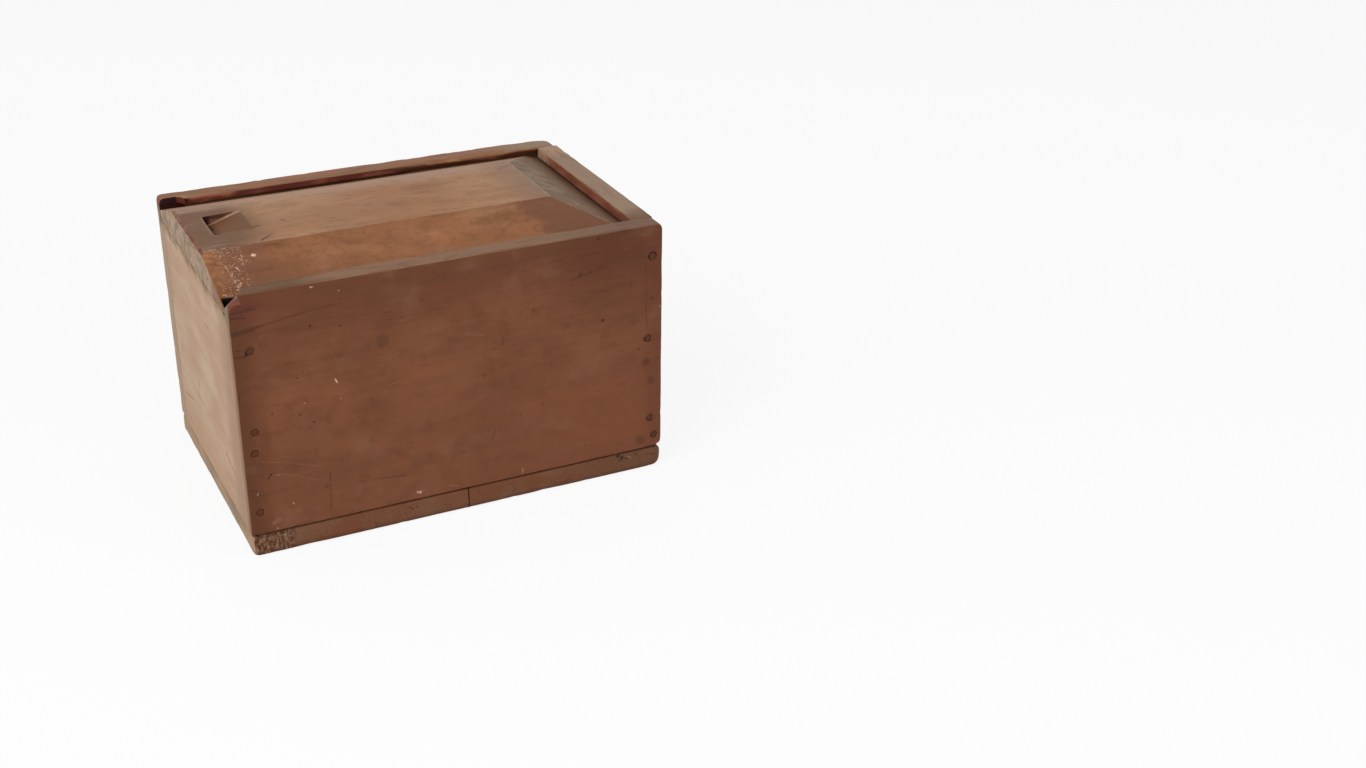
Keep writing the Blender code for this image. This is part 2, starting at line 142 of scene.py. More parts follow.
class Value:
    """A number, vector or colour in a shader, which can be used in Python sums."""

    def __init__(self, tree, socket):
        self.tree = tree
        self.socket = socket

    def maths(self, operation, *others, clamp=False):
        settings = {"operation": operation, "use_clamp": clamp}
        return self.tree.add("ShaderNodeMath", settings, (self, *others))

    def __add__(self, other):
        return self.maths("ADD", other)

    def __mul__(self, other):
        return self.maths("MULTIPLY", other)

    def __sub__(self, other):
        return self.maths("SUBTRACT", other)

    def __truediv__(self, other):
        return self.maths("DIVIDE", other)

    def __rsub__(self, other):
        return self.tree.add("ShaderNodeMath", {"operation": "SUBTRACT"}, (other, self))

    def __rtruediv__(self, other):
        return self.tree.add("ShaderNodeMath", {"operation": "DIVIDE"}, (other, self))

    def __abs__(self):
        return self.maths("ABSOLUTE")

    __radd__ = __add__
    __rmul__ = __mul__

    def least(self, other):
        return self.maths("MINIMUM", other)

    def most(self, other):
        return self.maths("MAXIMUM", other)

    def fade(self, start, end, top=1.0):
        """Rises smoothly from 0 where the value is at its start to the top where it is at its end."""
        settings = {"interpolation_type": "SMOOTHSTEP"}
        return self.tree.add("ShaderNodeMapRange", settings, {0: self, 1: start, 2: end, 3: 0.0, 4: top})

    def between(self, low, high, soft):
        """1 from low to high, with soft borders."""
        return self.fade(low - soft, low + soft) * self.fade(high + soft, high - soft)

    def adrift(self, scale, reach, stretch=1.0, shift=0.0):
        """The value with a soft drift to and fro, for ragged borders."""
        drift = self.tree.cloud(self.tree.drawn_out(stretch, shift), scale, 3, 0.6)
        return self + (drift - 0.5) * reach

    def mix(self, under, over):
        """The first colour where the value is 0, and the second where it is 1."""
        return self.tree.add("ShaderNodeMix", {"data_type": "RGBA"}, {0: self, 6: under, 7: over}, 2)

    def layered(self, *layers):
        """The colour with others laid over it in turn, each where its own mask is."""
        colour = self
        for mask, over in layers:
            colour = mask.mix(colour, over)
        return colour


class Tree:
    """A node tree, with the few moves that its finishes are made of."""

    def __init__(self, tree):
        self.nodes = tree.nodes
        self.links = tree.links

    def add(self, kind, settings=None, values=(), output=0):
        """One node: its settings first, then the values or links of its sockets."""
        node = self.nodes.new(kind)
        for name, value in (settings or {}).items():
            setattr(node, name, value)
        items = values.items() if isinstance(values, dict) else enumerate(values)
        for name, value in items:
            self.feed(node.inputs[name], value)
        return Value(self, node.outputs[output])

    def feed(self, socket, value):
        if isinstance(value, Value):
            self.links.new(value.socket, socket)
        elif socket.type == "RGBA" and len(value) == 3:
            socket.default_value = (*value, 1)
        else:
            socket.default_value = value

    def split(self, vector):
        return [self.add("ShaderNodeSeparateXYZ", None, (vector,), axis) for axis in range(3)]

    def vector(self, operation, *values, output=0):
        return self.add("ShaderNodeVectorMath", {"operation": operation}, values, output)

    def scaled(self, vector, factor):
        return self.add("ShaderNodeVectorMath", {"operation": "SCALE"}, {0: vector, 3: factor})


class Finish(Tree):
    """One finish of the box, painted in the object's own space."""

    def __init__(self, name, lengthwise, pith, spacing=4.4 * MM, shift=0.0):
        self.material = bpy.data.materials.new(name)
        self.material.use_nodes = True
        super().__init__(self.material.node_tree)
        self.shader = self.nodes["Principled BSDF"]
        self.shader.inputs["Specular IOR Level"].default_value = SHEEN_LEVEL
        self.lengthwise = lengthwise
        self.place = self.add("ShaderNodeTexCoord", output="Object")
        self.here = self.split(self.place)
        self.x, self.y, self.z = self.here
        self.facing = self.split(self.add("ShaderNodeTexCoord", output="Normal"))
        ragging = self.cloud(self.place, RAGGED_SCALE, 3, colour=True)
        offset = self.vector("SUBTRACT", ragging, (0.5, 0.5, 0.5))
        self.ragged = self.vector("ADD", self.place, self.scaled(offset, RAGGED_REACH))
        self.fine = self.fibres(FINE_SCALE, FINE_STRETCH, 3, shift)
        self.broad = self.fibres(BROAD_SCALE, BROAD_STRETCH, 3, shift)
        self.late = self.rings(pith, spacing)
        lit = 1 + (self.fine - 0.5) * FINE_SHADE + (self.broad - 0.5) * BROAD_SHADE
        self.shade = lit - self.late * LATE_SHADE

    def cloud(self, place, scale, detail=2, rough=0.5, warp=0.0, colour=False):
        """Soft noise of so many lumps a metre, about 0.5."""
        values = {"Vector": place, "Scale": scale, "Detail": detail, "Roughness": rough, "Distortion": warp}
        return self.add("ShaderNodeTexNoise", None, values, 1 if colour else 0)

    def drawn_out(self, stretch, shift=0.0, along=None):
        """The place with its measure along the board shortened, so that noise on it makes fibres."""
        factors = [1.0, 1.0, 1.0]
        factors[self.lengthwise if along is None else along] = 1 / stretch
        return self.vector("MULTIPLY_ADD", self.place, tuple(factors), (shift, shift, shift))

    def fibres(self, scale, stretch, detail=2, shift=0.0):
        return self.cloud(self.drawn_out(stretch, shift), scale, detail, 0.6)

    def patches(self, scale, low=0.36, high=0.64, stretch=1.7, shift=0.0, top=1.0):
        return self.cloud(self.drawn_out(stretch, shift), scale, 4, 0.55, 0.3).fade(low, high, top)

    def grit(self, scale, low, high, top=1.0, detail=4, rough=0.65):
        """Fine patches with hard borders, for crumbs, crust and broken marks."""
        return self.cloud(self.place, scale, detail, rough).fade(low, high, top)

    def rings(self, pith, spacing):
        """Growth rings round a line near the pith: 0 in early wood, up to 1 in late wood."""
        drift = self.cloud(self.drawn_out(5), 16, 3, 0.5, colour=True)
        moved = self.scaled(self.vector("SUBTRACT", drift, (0.5, 0.5, 0.5)), RING_DRIFT)
        offset = self.vector("ADD", self.vector("SUBTRACT", self.place, pith), moved)
        flat = [1.0, 1.0, 1.0]
        flat[self.lengthwise] = RING_LEAN
        radius = self.vector("LENGTH", self.vector("MULTIPLY", offset, tuple(flat)), output=1)
        turn = (radius / spacing).maths("FRACT")
        return turn.fade(0.25, 0.92) * turn.fade(1.0, 0.93)

    def spot(self, centre, radius, strength=1.0, soft=0.5):
        distance = self.vector("DISTANCE", self.ragged, tuple(centre), output=1)
        return distance.fade(radius * (1 + soft), radius * (1 - soft), strength)

    def circle(self, centre, radius, width, strength=1.0):
        """A thin ring, such as the edge of a sunk nail head."""
        distance = self.vector("DISTANCE", self.ragged, tuple(centre), output=1)
        return abs(distance - radius).fade(width, 0.0, strength)

    def stroke(self, start, end, width, strength=1.0):
        """A mark drawn from one point to another, which fades out at its width to either side."""
        start = Vector(start)
        run = Vector(end) - start
        offset = self.vector("SUBTRACT", self.ragged, tuple(start))
        reach = self.vector("DOT_PRODUCT", offset, tuple(run), output=1)
        share = reach.maths("MULTIPLY", 1 / run.length_squared, clamp=True)
        nearest = self.vector("MULTIPLY_ADD", self.scaled(tuple(run), share), (1, 1, 1), tuple(start))
        distance = self.vector("DISTANCE", self.ragged, nearest, output=1)
        return distance.fade(width, width * 0.1, strength)

    def spots(self, on_face, table, soft=0.6):
        """Spots from rows of their place on a face, their radius and their strength."""
        return joined(self.spot(on_face(across, up), size * MM, strength, soft)
                      for across, up, size, strength in table)

    def strokes(self, on_face, table):
        """Strokes from rows of their start and end on a face, their width and their strength."""
        return joined(self.stroke(on_face(*ends[:2]), on_face(*ends[2:]), width * MM, strength)
                      for *ends, width, strength in table)

    def specks(self, scale, amount, size=0.25, stretch=1.0, shift=0.0, along=None):
        """Small separate marks, so many cells a metre, of which only some hold one."""
        cells = {"Vector": self.drawn_out(stretch, shift, along), "Scale": scale, "Randomness": 1.0}
        distance = self.add("ShaderNodeTexVoronoi", None, cells, "Distance")
        lot = self.split(self.add("ShaderNodeTexVoronoi", None, cells, "Color"))[0]
        return distance.fade(size, size * 0.3) * lot.fade(1 - amount, 1 - amount * 0.7)

    def arris(self, low, high):
        """The distance along the surface to the nearest arris of the board between two corners."""
        gaps = []
        for here, bottom, top in zip(self.here, low, high):
            gaps.append((top - bottom) / 2 - abs(here - (bottom + top) / 2))
        first, second, third = gaps
        return first.least(second).most(first.most(second).least(third))

    def seen_on(self, axis, side, start=0.55, end=0.85):
        """1 on the faces that look along an axis, to its plus side or its minus side."""
        return (self.facing[axis] * side).fade(start, end)

    def lay(self, colour, roughness, relief_mm, metallic=None):
        """Sends the finished colour, roughness and relief to the shader."""
        self.feed(self.shader.inputs["Base Color"], colour)
        self.feed(self.shader.inputs["Roughness"], roughness)
        if metallic is not None:
            self.feed(self.shader.inputs["Metallic"], metallic)
        bump = self.add("ShaderNodeBump", None, {"Strength": 1.0, "Distance": MM, "Height": relief_mm})
        self.feed(self.shader.inputs["Normal"], bump)
        return self.material

    def lay_wood(self, colour, roughness, marks):
        """Wood's own relief is that of its fibres and growth rings, with the marks sunk in it."""
        grain = self.fine * FINE_RELIEF + self.broad * BROAD_RELIEF
        relief = grain - self.late * LATE_RELIEF - marks * MARK_DEPTH
        return self.lay(colour, roughness, relief)

    def shaded(self, colour):
        """The colour, made lighter and darker along the fibres and growth rings."""
        return self.scaled(colour, self.shade)


def joined(marks):
    """The strongest of several marks at each point."""
    marks = list(marks)
    result = marks[0]
    for mark in marks[1:]:
        result = result.most(mark)
    return result


# Stain and dirt, with painted shade, as they look in the studio
STAIN_WARM = wood(121, 76, 55)
STAIN_OLIVE = wood(111, 71, 50)
STAIN_LOW = wood(119, 73, 52)
STAIN_TOP = wood(99, 62, 45)
STAIN_FAR_TOP = wood(87, 53, 40)
STAIN_EDGE = wood(90, 57, 42)
STAIN_FAR_EDGE = wood(102, 61, 45)
STAIN_DEEP = wood(76, 46, 35)
# dark dirt in marks and cracks, also used as painted shade in nail bores and at the far lip's foot
DIRT_AND_SHADE = wood(46, 30, 24)
# painted shade for deep holes, the chipped lid corner and the open groove ends
HOLE_SHADE = wood(24, 16, 13)
# painted shade in the broken near end of the rear lip and the deep end of the thumb notch
BREAK_SHADE = wood(52, 31, 25)
ROUND_STAIN = wood(92, 59, 46)
PALE_FLECK = wood(216, 182, 154)
SCUFF = wood(150, 112, 90)

# Rails and lips
RAIL_NEAR = wood(107, 77, 55)
RAIL_MID = wood(134, 102, 79)
RAIL_FAR = wood(119, 91, 74)
REAR_RAIL = wood(149, 106, 82)
REAR_RAIL_GREY = wood(134, 98, 75)
FAR_RAIL = wood(152, 126, 106)
RAW_CORNER = wood(170, 138, 112)
RAIL_SPECK = wood(84, 62, 50)
LIP_RED = wood(94, 50, 43)
LIP_DARK = wood(71, 41, 31)
LIP_WORN = wood(148, 106, 78)
LIP_OCHRE = wood(166, 126, 86)
FAR_LIP_RED = wood(147, 92, 73)
FAR_LIP_DARK = wood(121, 73, 58)
SPLIT_PINK = wood(156, 108, 92)
SPLIT_DULL = wood(112, 68, 56)
SPLIT_BROWN = wood(118, 92, 72)

# Bare wood
BARE_PALE = wood(190, 164, 138)
BARE_PINK = wood(182, 149, 125)
BARE_LOW = wood(180, 146, 118)
BARE_FRONT = wood(166, 136, 112)
BARE_GREY = wood(134, 111, 86)
BARE_GREEN = wood(126, 109, 80)
BARE_BROWN = wood(116, 92, 70)
END_GRAIN = wood(160, 130, 105)
REAR_END_GRAIN = wood(166, 142, 120)
INSIDE_TAN = wood(160, 124, 92)
INSIDE_BROWN = wood(140, 104, 76)

# The lid
FIELD_TAN = wood(168, 127, 95)
FIELD_BROWN = wood(156, 114, 83)
FIELD_REAR_STRIP = wood(173, 140, 119)
FIELD_NEAR_STRIP = wood(108, 79, 60)
FIELD_FAR_STRIP = wood(138, 112, 93)
FIELD_PIT = wood(104, 78, 62)
WORN_ARRIS = wood(184, 154, 132)
BEVEL_ORANGE = wood(152, 102, 71)
BEVEL_BROWN = wood(130, 87, 61)
BEVEL_HIGHLIGHT = wood(172, 126, 96)
BEVEL_FAR = wood(115, 78, 60)
# painted shadow of the front rail on the foot of the lid's bevel
BEVEL_FOOT_SHADE = wood(112, 82, 63)
OCHRE = wood(166, 114, 74)
ARC_BROWN = wood(112, 70, 46)
FAR_GREY = wood(137, 113, 88)
FAR_BROWN = wood(113, 87, 68)
LICHEN = wood(108, 94, 75)
NOTCH_FLOOR = wood(118, 81, 59)
NOTCH_FLOOR_FAR = wood(109, 76, 55)
NOTCH_WALL = wood(132, 98, 78)
NOTCH_RIDGE = wood(172, 140, 118)
CHAMFER_RED = wood(104, 60, 46)
CHAMFER_BROWN = wood(128, 92, 72)

# The base boards
BASE_BROWN = wood(115, 80, 61)
BASE_FAR = wood(104, 72, 54)
BASE_TAN = wood(168, 138, 110)
BASE_GREY = wood(140, 122, 102)
# dark grain on the base's rough near end, and painted shade along its bottom edge
BASE_DARK = wood(58, 38, 29)
UNDERSIDE = wood(150, 118, 90)

# Iron under old stain
RUST = wood(97, 61, 46)
RUST_DARK = wood(82, 51, 39)

NAIL_RIM = 3 * MM
NAIL_BORE = 4 * MM


def nail_rims(finish, prefix, axis, level, strength=0.6, bore_shade=0.9):
    """The dark rims round the nail heads that are sunk in one face, and painted shade on the walls of their
    bores.
    """
    rims = []
    inward = 1 if level < 0 or axis == Z else -1
    depth = (finish.here[axis] - level) * inward
    bored = depth.fade(0.1 * MM, 0.3 * MM)
    for node in NODES:
        if node.startswith(prefix):
            low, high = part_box(node)
            centre = (low + high) / 2
            centre[axis] = level
            rims.append(finish.circle(centre, NAIL_RIM, MM, strength))
            # painted shade on the walls of each nail's bore
            rims.append(finish.spot(centre, NAIL_BORE, bore_shade, 0.2) * bored)
    return joined(rims)


def inside_wood(finish):
    """Wood inside the box, which was never stained and has only darkened with age."""
    return finish.patches(14, 0.35, 0.65, 2.5, 5).mix(INSIDE_TAN, INSIDE_BROWN)


def stained_coat(finish, low, high, shift):
    """The old brown stain of a hidden side: soft patches, darker towards the arrises."""
    coat = finish.patches(15, shift=shift).mix(STAIN_WARM, STAIN_OLIVE)
    up = finish.z.adrift(22, 0.03, 2, shift)
    edge = finish.arris(low, high).adrift(45, 14 * MM, 1, shift)
    coat = coat.layered(
        (up.fade(0.16, 0.222, 0.8), STAIN_TOP),
        (edge.fade(17 * MM, 3 * MM, 0.6), STAIN_EDGE))
    return finish.patches(55, 0.52, 0.74, 3, shift + 4, 0.35).mix(coat, STAIN_DEEP)


def small_wear(finish, shift=0):
    """Pits and short dark dashes along the grain, all over an old surface."""
    pits = finish.specks(120, 0.12, 0.13, 1, shift) * 0.45
    dashes = finish.specks(240, 0.16, 0.24, 7, shift + 2) * 0.28
    return pits.most(dashes)


def rail_top(finish, colour):
    """The stain on the top edges is rubbed away, and dirt sits in the grain."""
    grime = finish.specks(300, 0.22, 0.3, 4) * 0.5
    grime = grime.most(finish.patches(120, 0.5, 0.72, 5, 1, 0.35))
    return grime.mix(colour, RAIL_SPECK)


def bare_end(finish, pale=BARE_PALE, pink=BARE_PINK):
    """Bare wood, with grey and green dirt where the lid has rubbed across the end's top."""
    colour = finish.patches(24, 0.38, 0.66, 1.5).mix(pale, pink)
    level = finish.z.adrift(60, 14 * MM)
    band = level.fade(NEAR_TOP - 9 * MM, NEAR_TOP + MM)
    dirt = band * finish.grit(190, 0.45, 0.62, 0.65)
    blotches = band * finish.patches(110, 0.44, 0.58, 1.5, 2, 0.7)
    colour = colour.layered(
        (band * 0.4, BARE_GREY),
        (dirt, BARE_GREY),
        (blotches, BARE_BROWN))
    green = band * finish.specks(330, 0.4, 0.32, 2) * 0.35
    return green.mix(colour, BARE_GREEN)


def front_finish():
    finish = Finish("front_stain", X, (0, 0.09, 0.06), 4.6 * MM)
    x, y, z = finish.here

    def on_face(across, up):
        return across * MM, FRONT_FACE, up * MM

    coat = finish.patches(19, 0.34, 0.66, 1.1).mix(STAIN_WARM, STAIN_OLIVE)
    mottle = finish.grit(60, 0.5, 0.68, 0.22, 4, 0.6)
    low_right = x.fade(-0.04, 0.12) * z.fade(0.16, 0.06, 0.8)
    up = z.adrift(22, 0.03, 2)
    far_top = x.fade(0.05, 0.14) * up.fade(0.12, 0.205, 0.62)
    across = x.adrift(40, 0.02, 0.6)
    pink = finish.spot(on_face(-168, 214), 9 * MM, 0.5, 0.9)
    coat = coat.layered(
        (mottle, STAIN_DEEP),
        (low_right, STAIN_LOW),
        (up.fade(0.165, 0.222, 0.85), STAIN_TOP),
        (far_top, STAIN_FAR_TOP),
        (across.fade(-0.152, -0.178, 0.85), STAIN_EDGE),
        (across.fade(0.154, 0.176, 0.6), STAIN_FAR_EDGE),
        (finish.patches(60, 0.54, 0.78, 3, 4, 0.22), STAIN_DEEP),
        (finish.patches(36, 0.52, 0.8, 1.4, 9, 0.2), SCUFF),
        (pink, LIP_RED),
        (finish.spot(on_face(-63.8, 167.6), 5.6 * MM, 0.6, 0.3), ROUND_STAIN))

    rims = nail_rims(finish, "nail_front_near", Y, FRONT_FACE, 0.05, 0.2)
    rims = rims.most(nail_rims(finish, "nail_front_far", Y, FRONT_FACE, 0.4))
    sunk = finish.spots(on_face, (
        (-169.2, 110.4, 2.6, 0.3), (-170.9, 91.9, 2, 0.35), (-171.3, 38.9, 2.4, 0.5),
        (167.4, 124.4, 2.2, 0.8), (165.2, 102.6, 3.8, 0.35), (170, 84.5, 3.4, 0.35),
        (169.3, 48.1, 3.2, 0.45), (159.8, 28.8, 4.4, 0.35), (168, 18, 3.6, 0.4),
        (-169.8, 176.6, 1.3, 0.85)))
    hook = finish.circle(on_face(-167.2, 178.6), 2.7 * MM, MM, 0.8)
    hook = hook * z.fade(0.1758, 0.1772)
    pits = finish.spots(on_face, (
        (-119.3, 191.2, 1.1, 0.6), (-132.9, 149.9, 0.9, 0.5), (-128.6, 154.2, 0.8, 0.4),
        (-154.7, 123.6, 1.2, 0.45), (-133.2, 118, 1.1, 0.5), (-122.7, 109.5, 1, 0.6),
        (-138.6, 109.6, 0.9, 0.45), (125.2, 148.8, 1.3, 0.8), (105.5, 192.9, 1.8, 0.5),
        (121.7, 222, 1.4, 0.55), (158.6, 115.9, 1.1, 0.5), (170.3, 160.6, 1.2, 0.4),
        (-116.6, 50.7, 2.2, 0.3), (-30, 196, 1.2, 0.3), (20, 120, 1.2, 0.35), (-96, 187, 1, 0.4),
        (-46, 184, 1, 0.35), (70, 84, 1.6, 0.25), (-171, 56, 1, 0.4), (64, 170, 1.4, 0.25)))
    cracks = finish.strokes(on_face, (
        (-178.5, 181.2, -172.5, 180.8, 0.9, 0.4), (-178, 175.8, -171.6, 175.2, 0.9, 0.6),
        (-179.6, 211.6, -160, 213.2, 1.1, 0.45), (-179, 208, -168, 207, 1.4, 0.35),
        (-162.4, 68.4, -160.2, 71.6, 1, 0.85), (-160.2, 71.6, -156.6, 72.2, 0.7, 0.7),
        (-113.4, 61.5, -113.8, 46, 1.3, 0.28), (-113.8, 44, -114.6, 30, 1.1, 0.35),
        (164, 200, 165, 156, 0.8, 0.2), (164.6, 155.9, 165.7, 134.6, 0.9, 0.35),
        (-178.5, 195, -155.5, 198.6, 2.4, 0.35), (-155.5, 198.6, -122, 203.4, 1.8, 0.3),
        (-122, 203.4, -95, 205.4, 1.2, 0.2), (-172, 194.4, -162, 196.2, 1.2, 0.5),
        (-76.9, 47.4, -64, 46, 0.8, 0.4), (-64, 46, -52, 45, 1, 0.35), (-90, 48, -84, 47, 0.9, 0.3),
        (24.5, 60, 27, 68, 0.7, 0.6), (36, 144, 37.5, 151, 0.9, 0.35), (98, 190, 127, 197, 2.2, 0.22),
        (106, 209, 122, 209.6, 1.2, 0.3), (116, 175.6, 130, 175, 1.6, 0.2),
        (-179, 140, -177, 146, 1, 0.4), (150, 166, 152, 190, 1, 0.15)))
    seam = z.adrift(90, 1.2 * MM, 3).fade(BASE_TOP + MM, BASE_TOP + 0.4 * MM, 0.4)
    seam = seam * finish.patches(50, 0.36, 0.5, 4, 7)
    dark = joined((rims, sunk, hook, pits, cracks, seam, small_wear(finish)))
    colour = dark.mix(finish.shaded(coat), DIRT_AND_SHADE)
    flecks = finish.strokes(on_face, (
        (-103.2, 142.6, -102.2, 139.8, 0.9, 0.95), (-116.6, 222.8, -115, 222.6, 1, 0.75),
        (-154.8, 70.4, -154, 69.6, 0.9, 0.2), (-171.5, 56.9, -172, 55.6, 0.7, 0.6),
        (-144.6, 42.4, -144.2, 41.4, 0.7, 0.65), (-159.2, 22.6, -158.4, 22.2, 0.9, 0.6),
        (-42, 26.6, -39.6, 26, 1.5, 0.7), (177.5, 152.3, 177.8, 151.6, 0.7, 0.7),
        (-95.4, 216.4, -94.8, 216, 0.6, 0.5), (50, 22, 50.6, 27, 0.8, 0.3),
        (176.6, 22.2, 179.6, 22.8, 1, 0.6), (-173, 93.6, -169.6, 93.8, 0.7, 0.4)))
    flecks = flecks.most(finish.specks(70, 0.05, 0.06, 1, 3.1) * 0.35)
    faint = finish.strokes(on_face, (
        (-157, 71, -140, 66, 0.8, 0.3), (-140, 66, -122, 57, 0.8, 0.2), (-166, 84, -146, 79, 0.8, 0.2),
        (-146, 79, -122, 70, 0.7, 0.25), (-152, 86, -134, 80, 0.7, 0.16),
        (-150, 66, -128, 66.4, 0.6, 0.2), (-161.3, 28.2, -157, 30, 3.4, 0.28),
        (-110, 42, -106, 43, 2.4, 0.1), (6, 160, 20, 156, 0.7, 0.3), (73, 100, 78, 104, 0.8, 0.35),
        (-14, 26, -7, 24, 1.4, 0.3), (-60, 128, -52, 131, 0.8, 0.25)))
    rail = x.adrift(40, 0.02).fade(-0.132, -0.096).mix(RAIL_NEAR, RAIL_MID)
    rail = x.fade(0.05, 0.17).mix(rail, RAIL_FAR)
    chips = y.adrift(220, 5 * MM).fade(FRONT_FACE + 2.4 * MM, FRONT_FACE + MM)
    chips = chips * x.between(-0.06, -0.01, 0.02) * finish.patches(60, 0.5, 0.62, 1, 2, 0.7)
    rail = chips.mix(rail_top(finish, rail), BARE_FRONT)
    rail_cracks = finish.strokes(lambda across, back: (across * MM, back * MM, RAIL_TOP), (
        (-150, -118.6, -96, -118, 1, 0.45), (-70, -119.2, -34, -118.4, 1.2, 0.5),
        (-24, -106, 14, -104.6, 1.2, 0.35), (-110, -104, -60, -103.4, 1, 0.3),
        (20, -118.8, 62, -118.2, 1, 0.4), (74, -112, 118, -110.4, 0.9, 0.3),
        (96, -119, 150, -118.4, 1.2, 0.45), (130, -105, 158, -104, 0.9, 0.3),
        (-8, -118, 4, -114, 1.6, 0.4), (-44, -112, -30, -109, 1.2, 0.3)))
    rail = rail_cracks.mix(rail, STAIN_DEEP)
    top = finish.seen_on(Z, 1)
    red_lip = z.fade(RAIL_TOP - 8 * MM, RAIL_TOP - 5 * MM)
    inner = red_lip.mix(inside_wood(finish), LIP_RED)
    end = bare_end(finish, END_GRAIN, BARE_FRONT)
    outer = y.adrift(120, 4 * MM)
    joint = finish.strokes(lambda across, up: (NEAR_FACE, across * MM, up * MM), (
        (-102, 166, -102.4, 152, 2.2, 0.8), (-102, 206, -102.2, 190, 1.8, 0.5),
        (-102, 130, -102, 112, 1.4, 0.2), (-102, 66, -102, 40, 1.6, 0.3)))
    end = end.layered(
        (outer.fade(FRONT_FACE + 13 * MM, FRONT_FACE + MM, 0.7), STAIN_WARM),
        (z.adrift(120, 8 * MM).fade(0.195, 0.206, 0.7), BARE_GREEN),
        (joint, STAIN_DEEP))
    low_break = NEAR_FACE + 10 * MM
    split = x.fade(low_break + 6 * MM, low_break + 4 * MM) * z.fade(0.2075, 0.2085)
    split = split * y.fade(FRONT_FACE + 0.2 * MM, FRONT_FACE + 0.7 * MM)
    split = split * finish.seen_on(X, -1, 0.9, 0.8) * finish.facing[Z].fade(0.97, 0.93)
    inward = finish.facing[X].fade(-0.25, -0.45)
    outer = y.adrift(300, 3 * MM).fade(FRONT_FACE + 5.5 * MM, FRONT_FACE + 3 * MM, 0.9)
    raw = inward.mix(outer.mix(SPLIT_PINK, SPLIT_DULL), SPLIT_BROWN)
    raw = (finish.specks(400, 0.3, 0.3, 4) * 0.6).mix(raw, FAR_LIP_DARK)
    step = finish.seen_on(X, -1) * x.between(low_break - 2 * MM, low_break + MM, 0.5 * MM)
    # painted shade in the end of the groove, where the lip is broken away
    groove = x.fade(-0.16, -0.163) * z.fade(0.2128, 0.212) * z.fade(0.2045, 0.2055)
    groove = groove * y.fade(-0.113, -0.112) * finish.facing[X].fade(-0.8, -0.6)
    colour = colour.layered(
        (flecks, PALE_FLECK),
        (faint, SCUFF),
        (top, finish.shaded(rail)),
        (finish.seen_on(Y, 1, 0.5, 0.8), finish.shaded(inner)),
        (finish.seen_on(X, -1, 0.62, 0.9), finish.shaded(end)),
        (split, finish.shaded(raw)),
        (step * z.fade(0.215, 0.217), RAIL_SPECK),
        (groove, HOLE_SHADE))
    return finish.lay_wood(colour, 0.52 + finish.broad * 0.2 + dark * 0.15, dark)


def rear_finish():
    finish = Finish("rear_stain", X, (0, 0.02, 0.02), 4.2 * MM, 2)
    x, y, z = finish.here
    coat = stained_coat(finish, REAR_LOW, REAR_HIGH, 3)
    dark = nail_rims(finish, "nail_rear", Y, REAR_HIGH.y, 0.4).most(small_wear(finish, 6))
    colour = dark.mix(finish.shaded(coat), DIRT_AND_SHADE)
    scuffs = finish.specks(60, 0.08, 0.08, 1, 4.4) * 0.4
    lip = x.adrift(30, 0.08, 3).fade(-0.03, 0.04).mix(LIP_RED, LIP_DARK)
    rubbed = x.fade(0, 0.09) * z.adrift(60, 5 * MM, 3).fade(0.2226, 0.2244)
    near_chips = x.between(-0.156, -0.118, 0.006)
    near_chips = near_chips * z.adrift(150, 5 * MM).fade(0.2222, 0.2244)
    lip = lip.layered(
        (finish.patches(70, 0.5, 0.7, 4, 2, 0.7), LIP_DARK),
        (finish.patches(45, 0.5, 0.66, 3, 9, 0.5), FAR_LIP_RED),
        (rubbed, LIP_WORN),
        (rubbed * finish.patches(60, 0.46, 0.6, 2, 7) * x.fade(0.03, 0.06), LIP_OCHRE),
        (near_chips, FAR_LIP_RED),
        # painted shade where the lip is broken off at the near end
        (x.fade(-0.156, -0.161), BREAK_SHADE))
    inner = z.fade(RAIL_TOP - 8 * MM, RAIL_TOP - 6.2 * MM).mix(inside_wood(finish), lip)
    # painted shade in the broken groove at the near end
    broken = x.fade(-0.155, -0.16) * z.fade(NEAR_TOP - 2 * MM, NEAR_TOP)
    inner = broken.mix(inner, BREAK_SHADE)
    rail = finish.patches(40, 0.4, 0.62, 4).mix(REAR_RAIL, REAR_RAIL_GREY)
    rail = x.fade(0.1, 0.16).mix(rail, FAR_RAIL)
    light = finish.spot((-0.164, 0.104, RAIL_TOP), 5 * MM, 0.7, 0.7)
    rail = light.mix(rail_top(finish, rail), RAW_CORNER)
    top = finish.seen_on(Z, 1) * z.fade(RAIL_TOP - 7 * MM, RAIL_TOP - 5 * MM)
    ledge = finish.seen_on(Z, 1) * z.fade(RAIL_TOP - 5 * MM, RAIL_TOP - 7 * MM)
    end = bare_end(finish, REAR_END_GRAIN, BARE_FRONT)
    outer = y.adrift(80, 4 * MM)
    end = end.layered(
        (outer.fade(REAR_HIGH.y - 3.5 * MM, REAR_HIGH.y - 1.5 * MM, 0.85), BARE_GREEN),
        (z.fade(0.212, 0.219, 0.8), STAIN_LOW))
    torn = finish.seen_on(X, -1, 0.2, 0.4) * x.fade(NEAR_FACE + 4 * MM, NEAR_FACE + 6 * MM)
    torn = torn * z.fade(0.205, 0.208)
    colour = colour.layered(
        (scuffs, SCUFF),
        (finish.seen_on(Y, -1, 0.5, 0.8), finish.shaded(inner)),
        (top, finish.shaded(rail)),
        # painted shade on the ledge where the lip is broken
        (ledge * x.fade(-0.12, -0.15), BREAK_SHADE),
        (finish.seen_on(X, -1, 0.6, 0.85), finish.shaded(end)),
        (torn, LIP_RED))
    return finish.lay_wood(colour, 0.54 + finish.broad * 0.2 + dark * 0.15, dark)


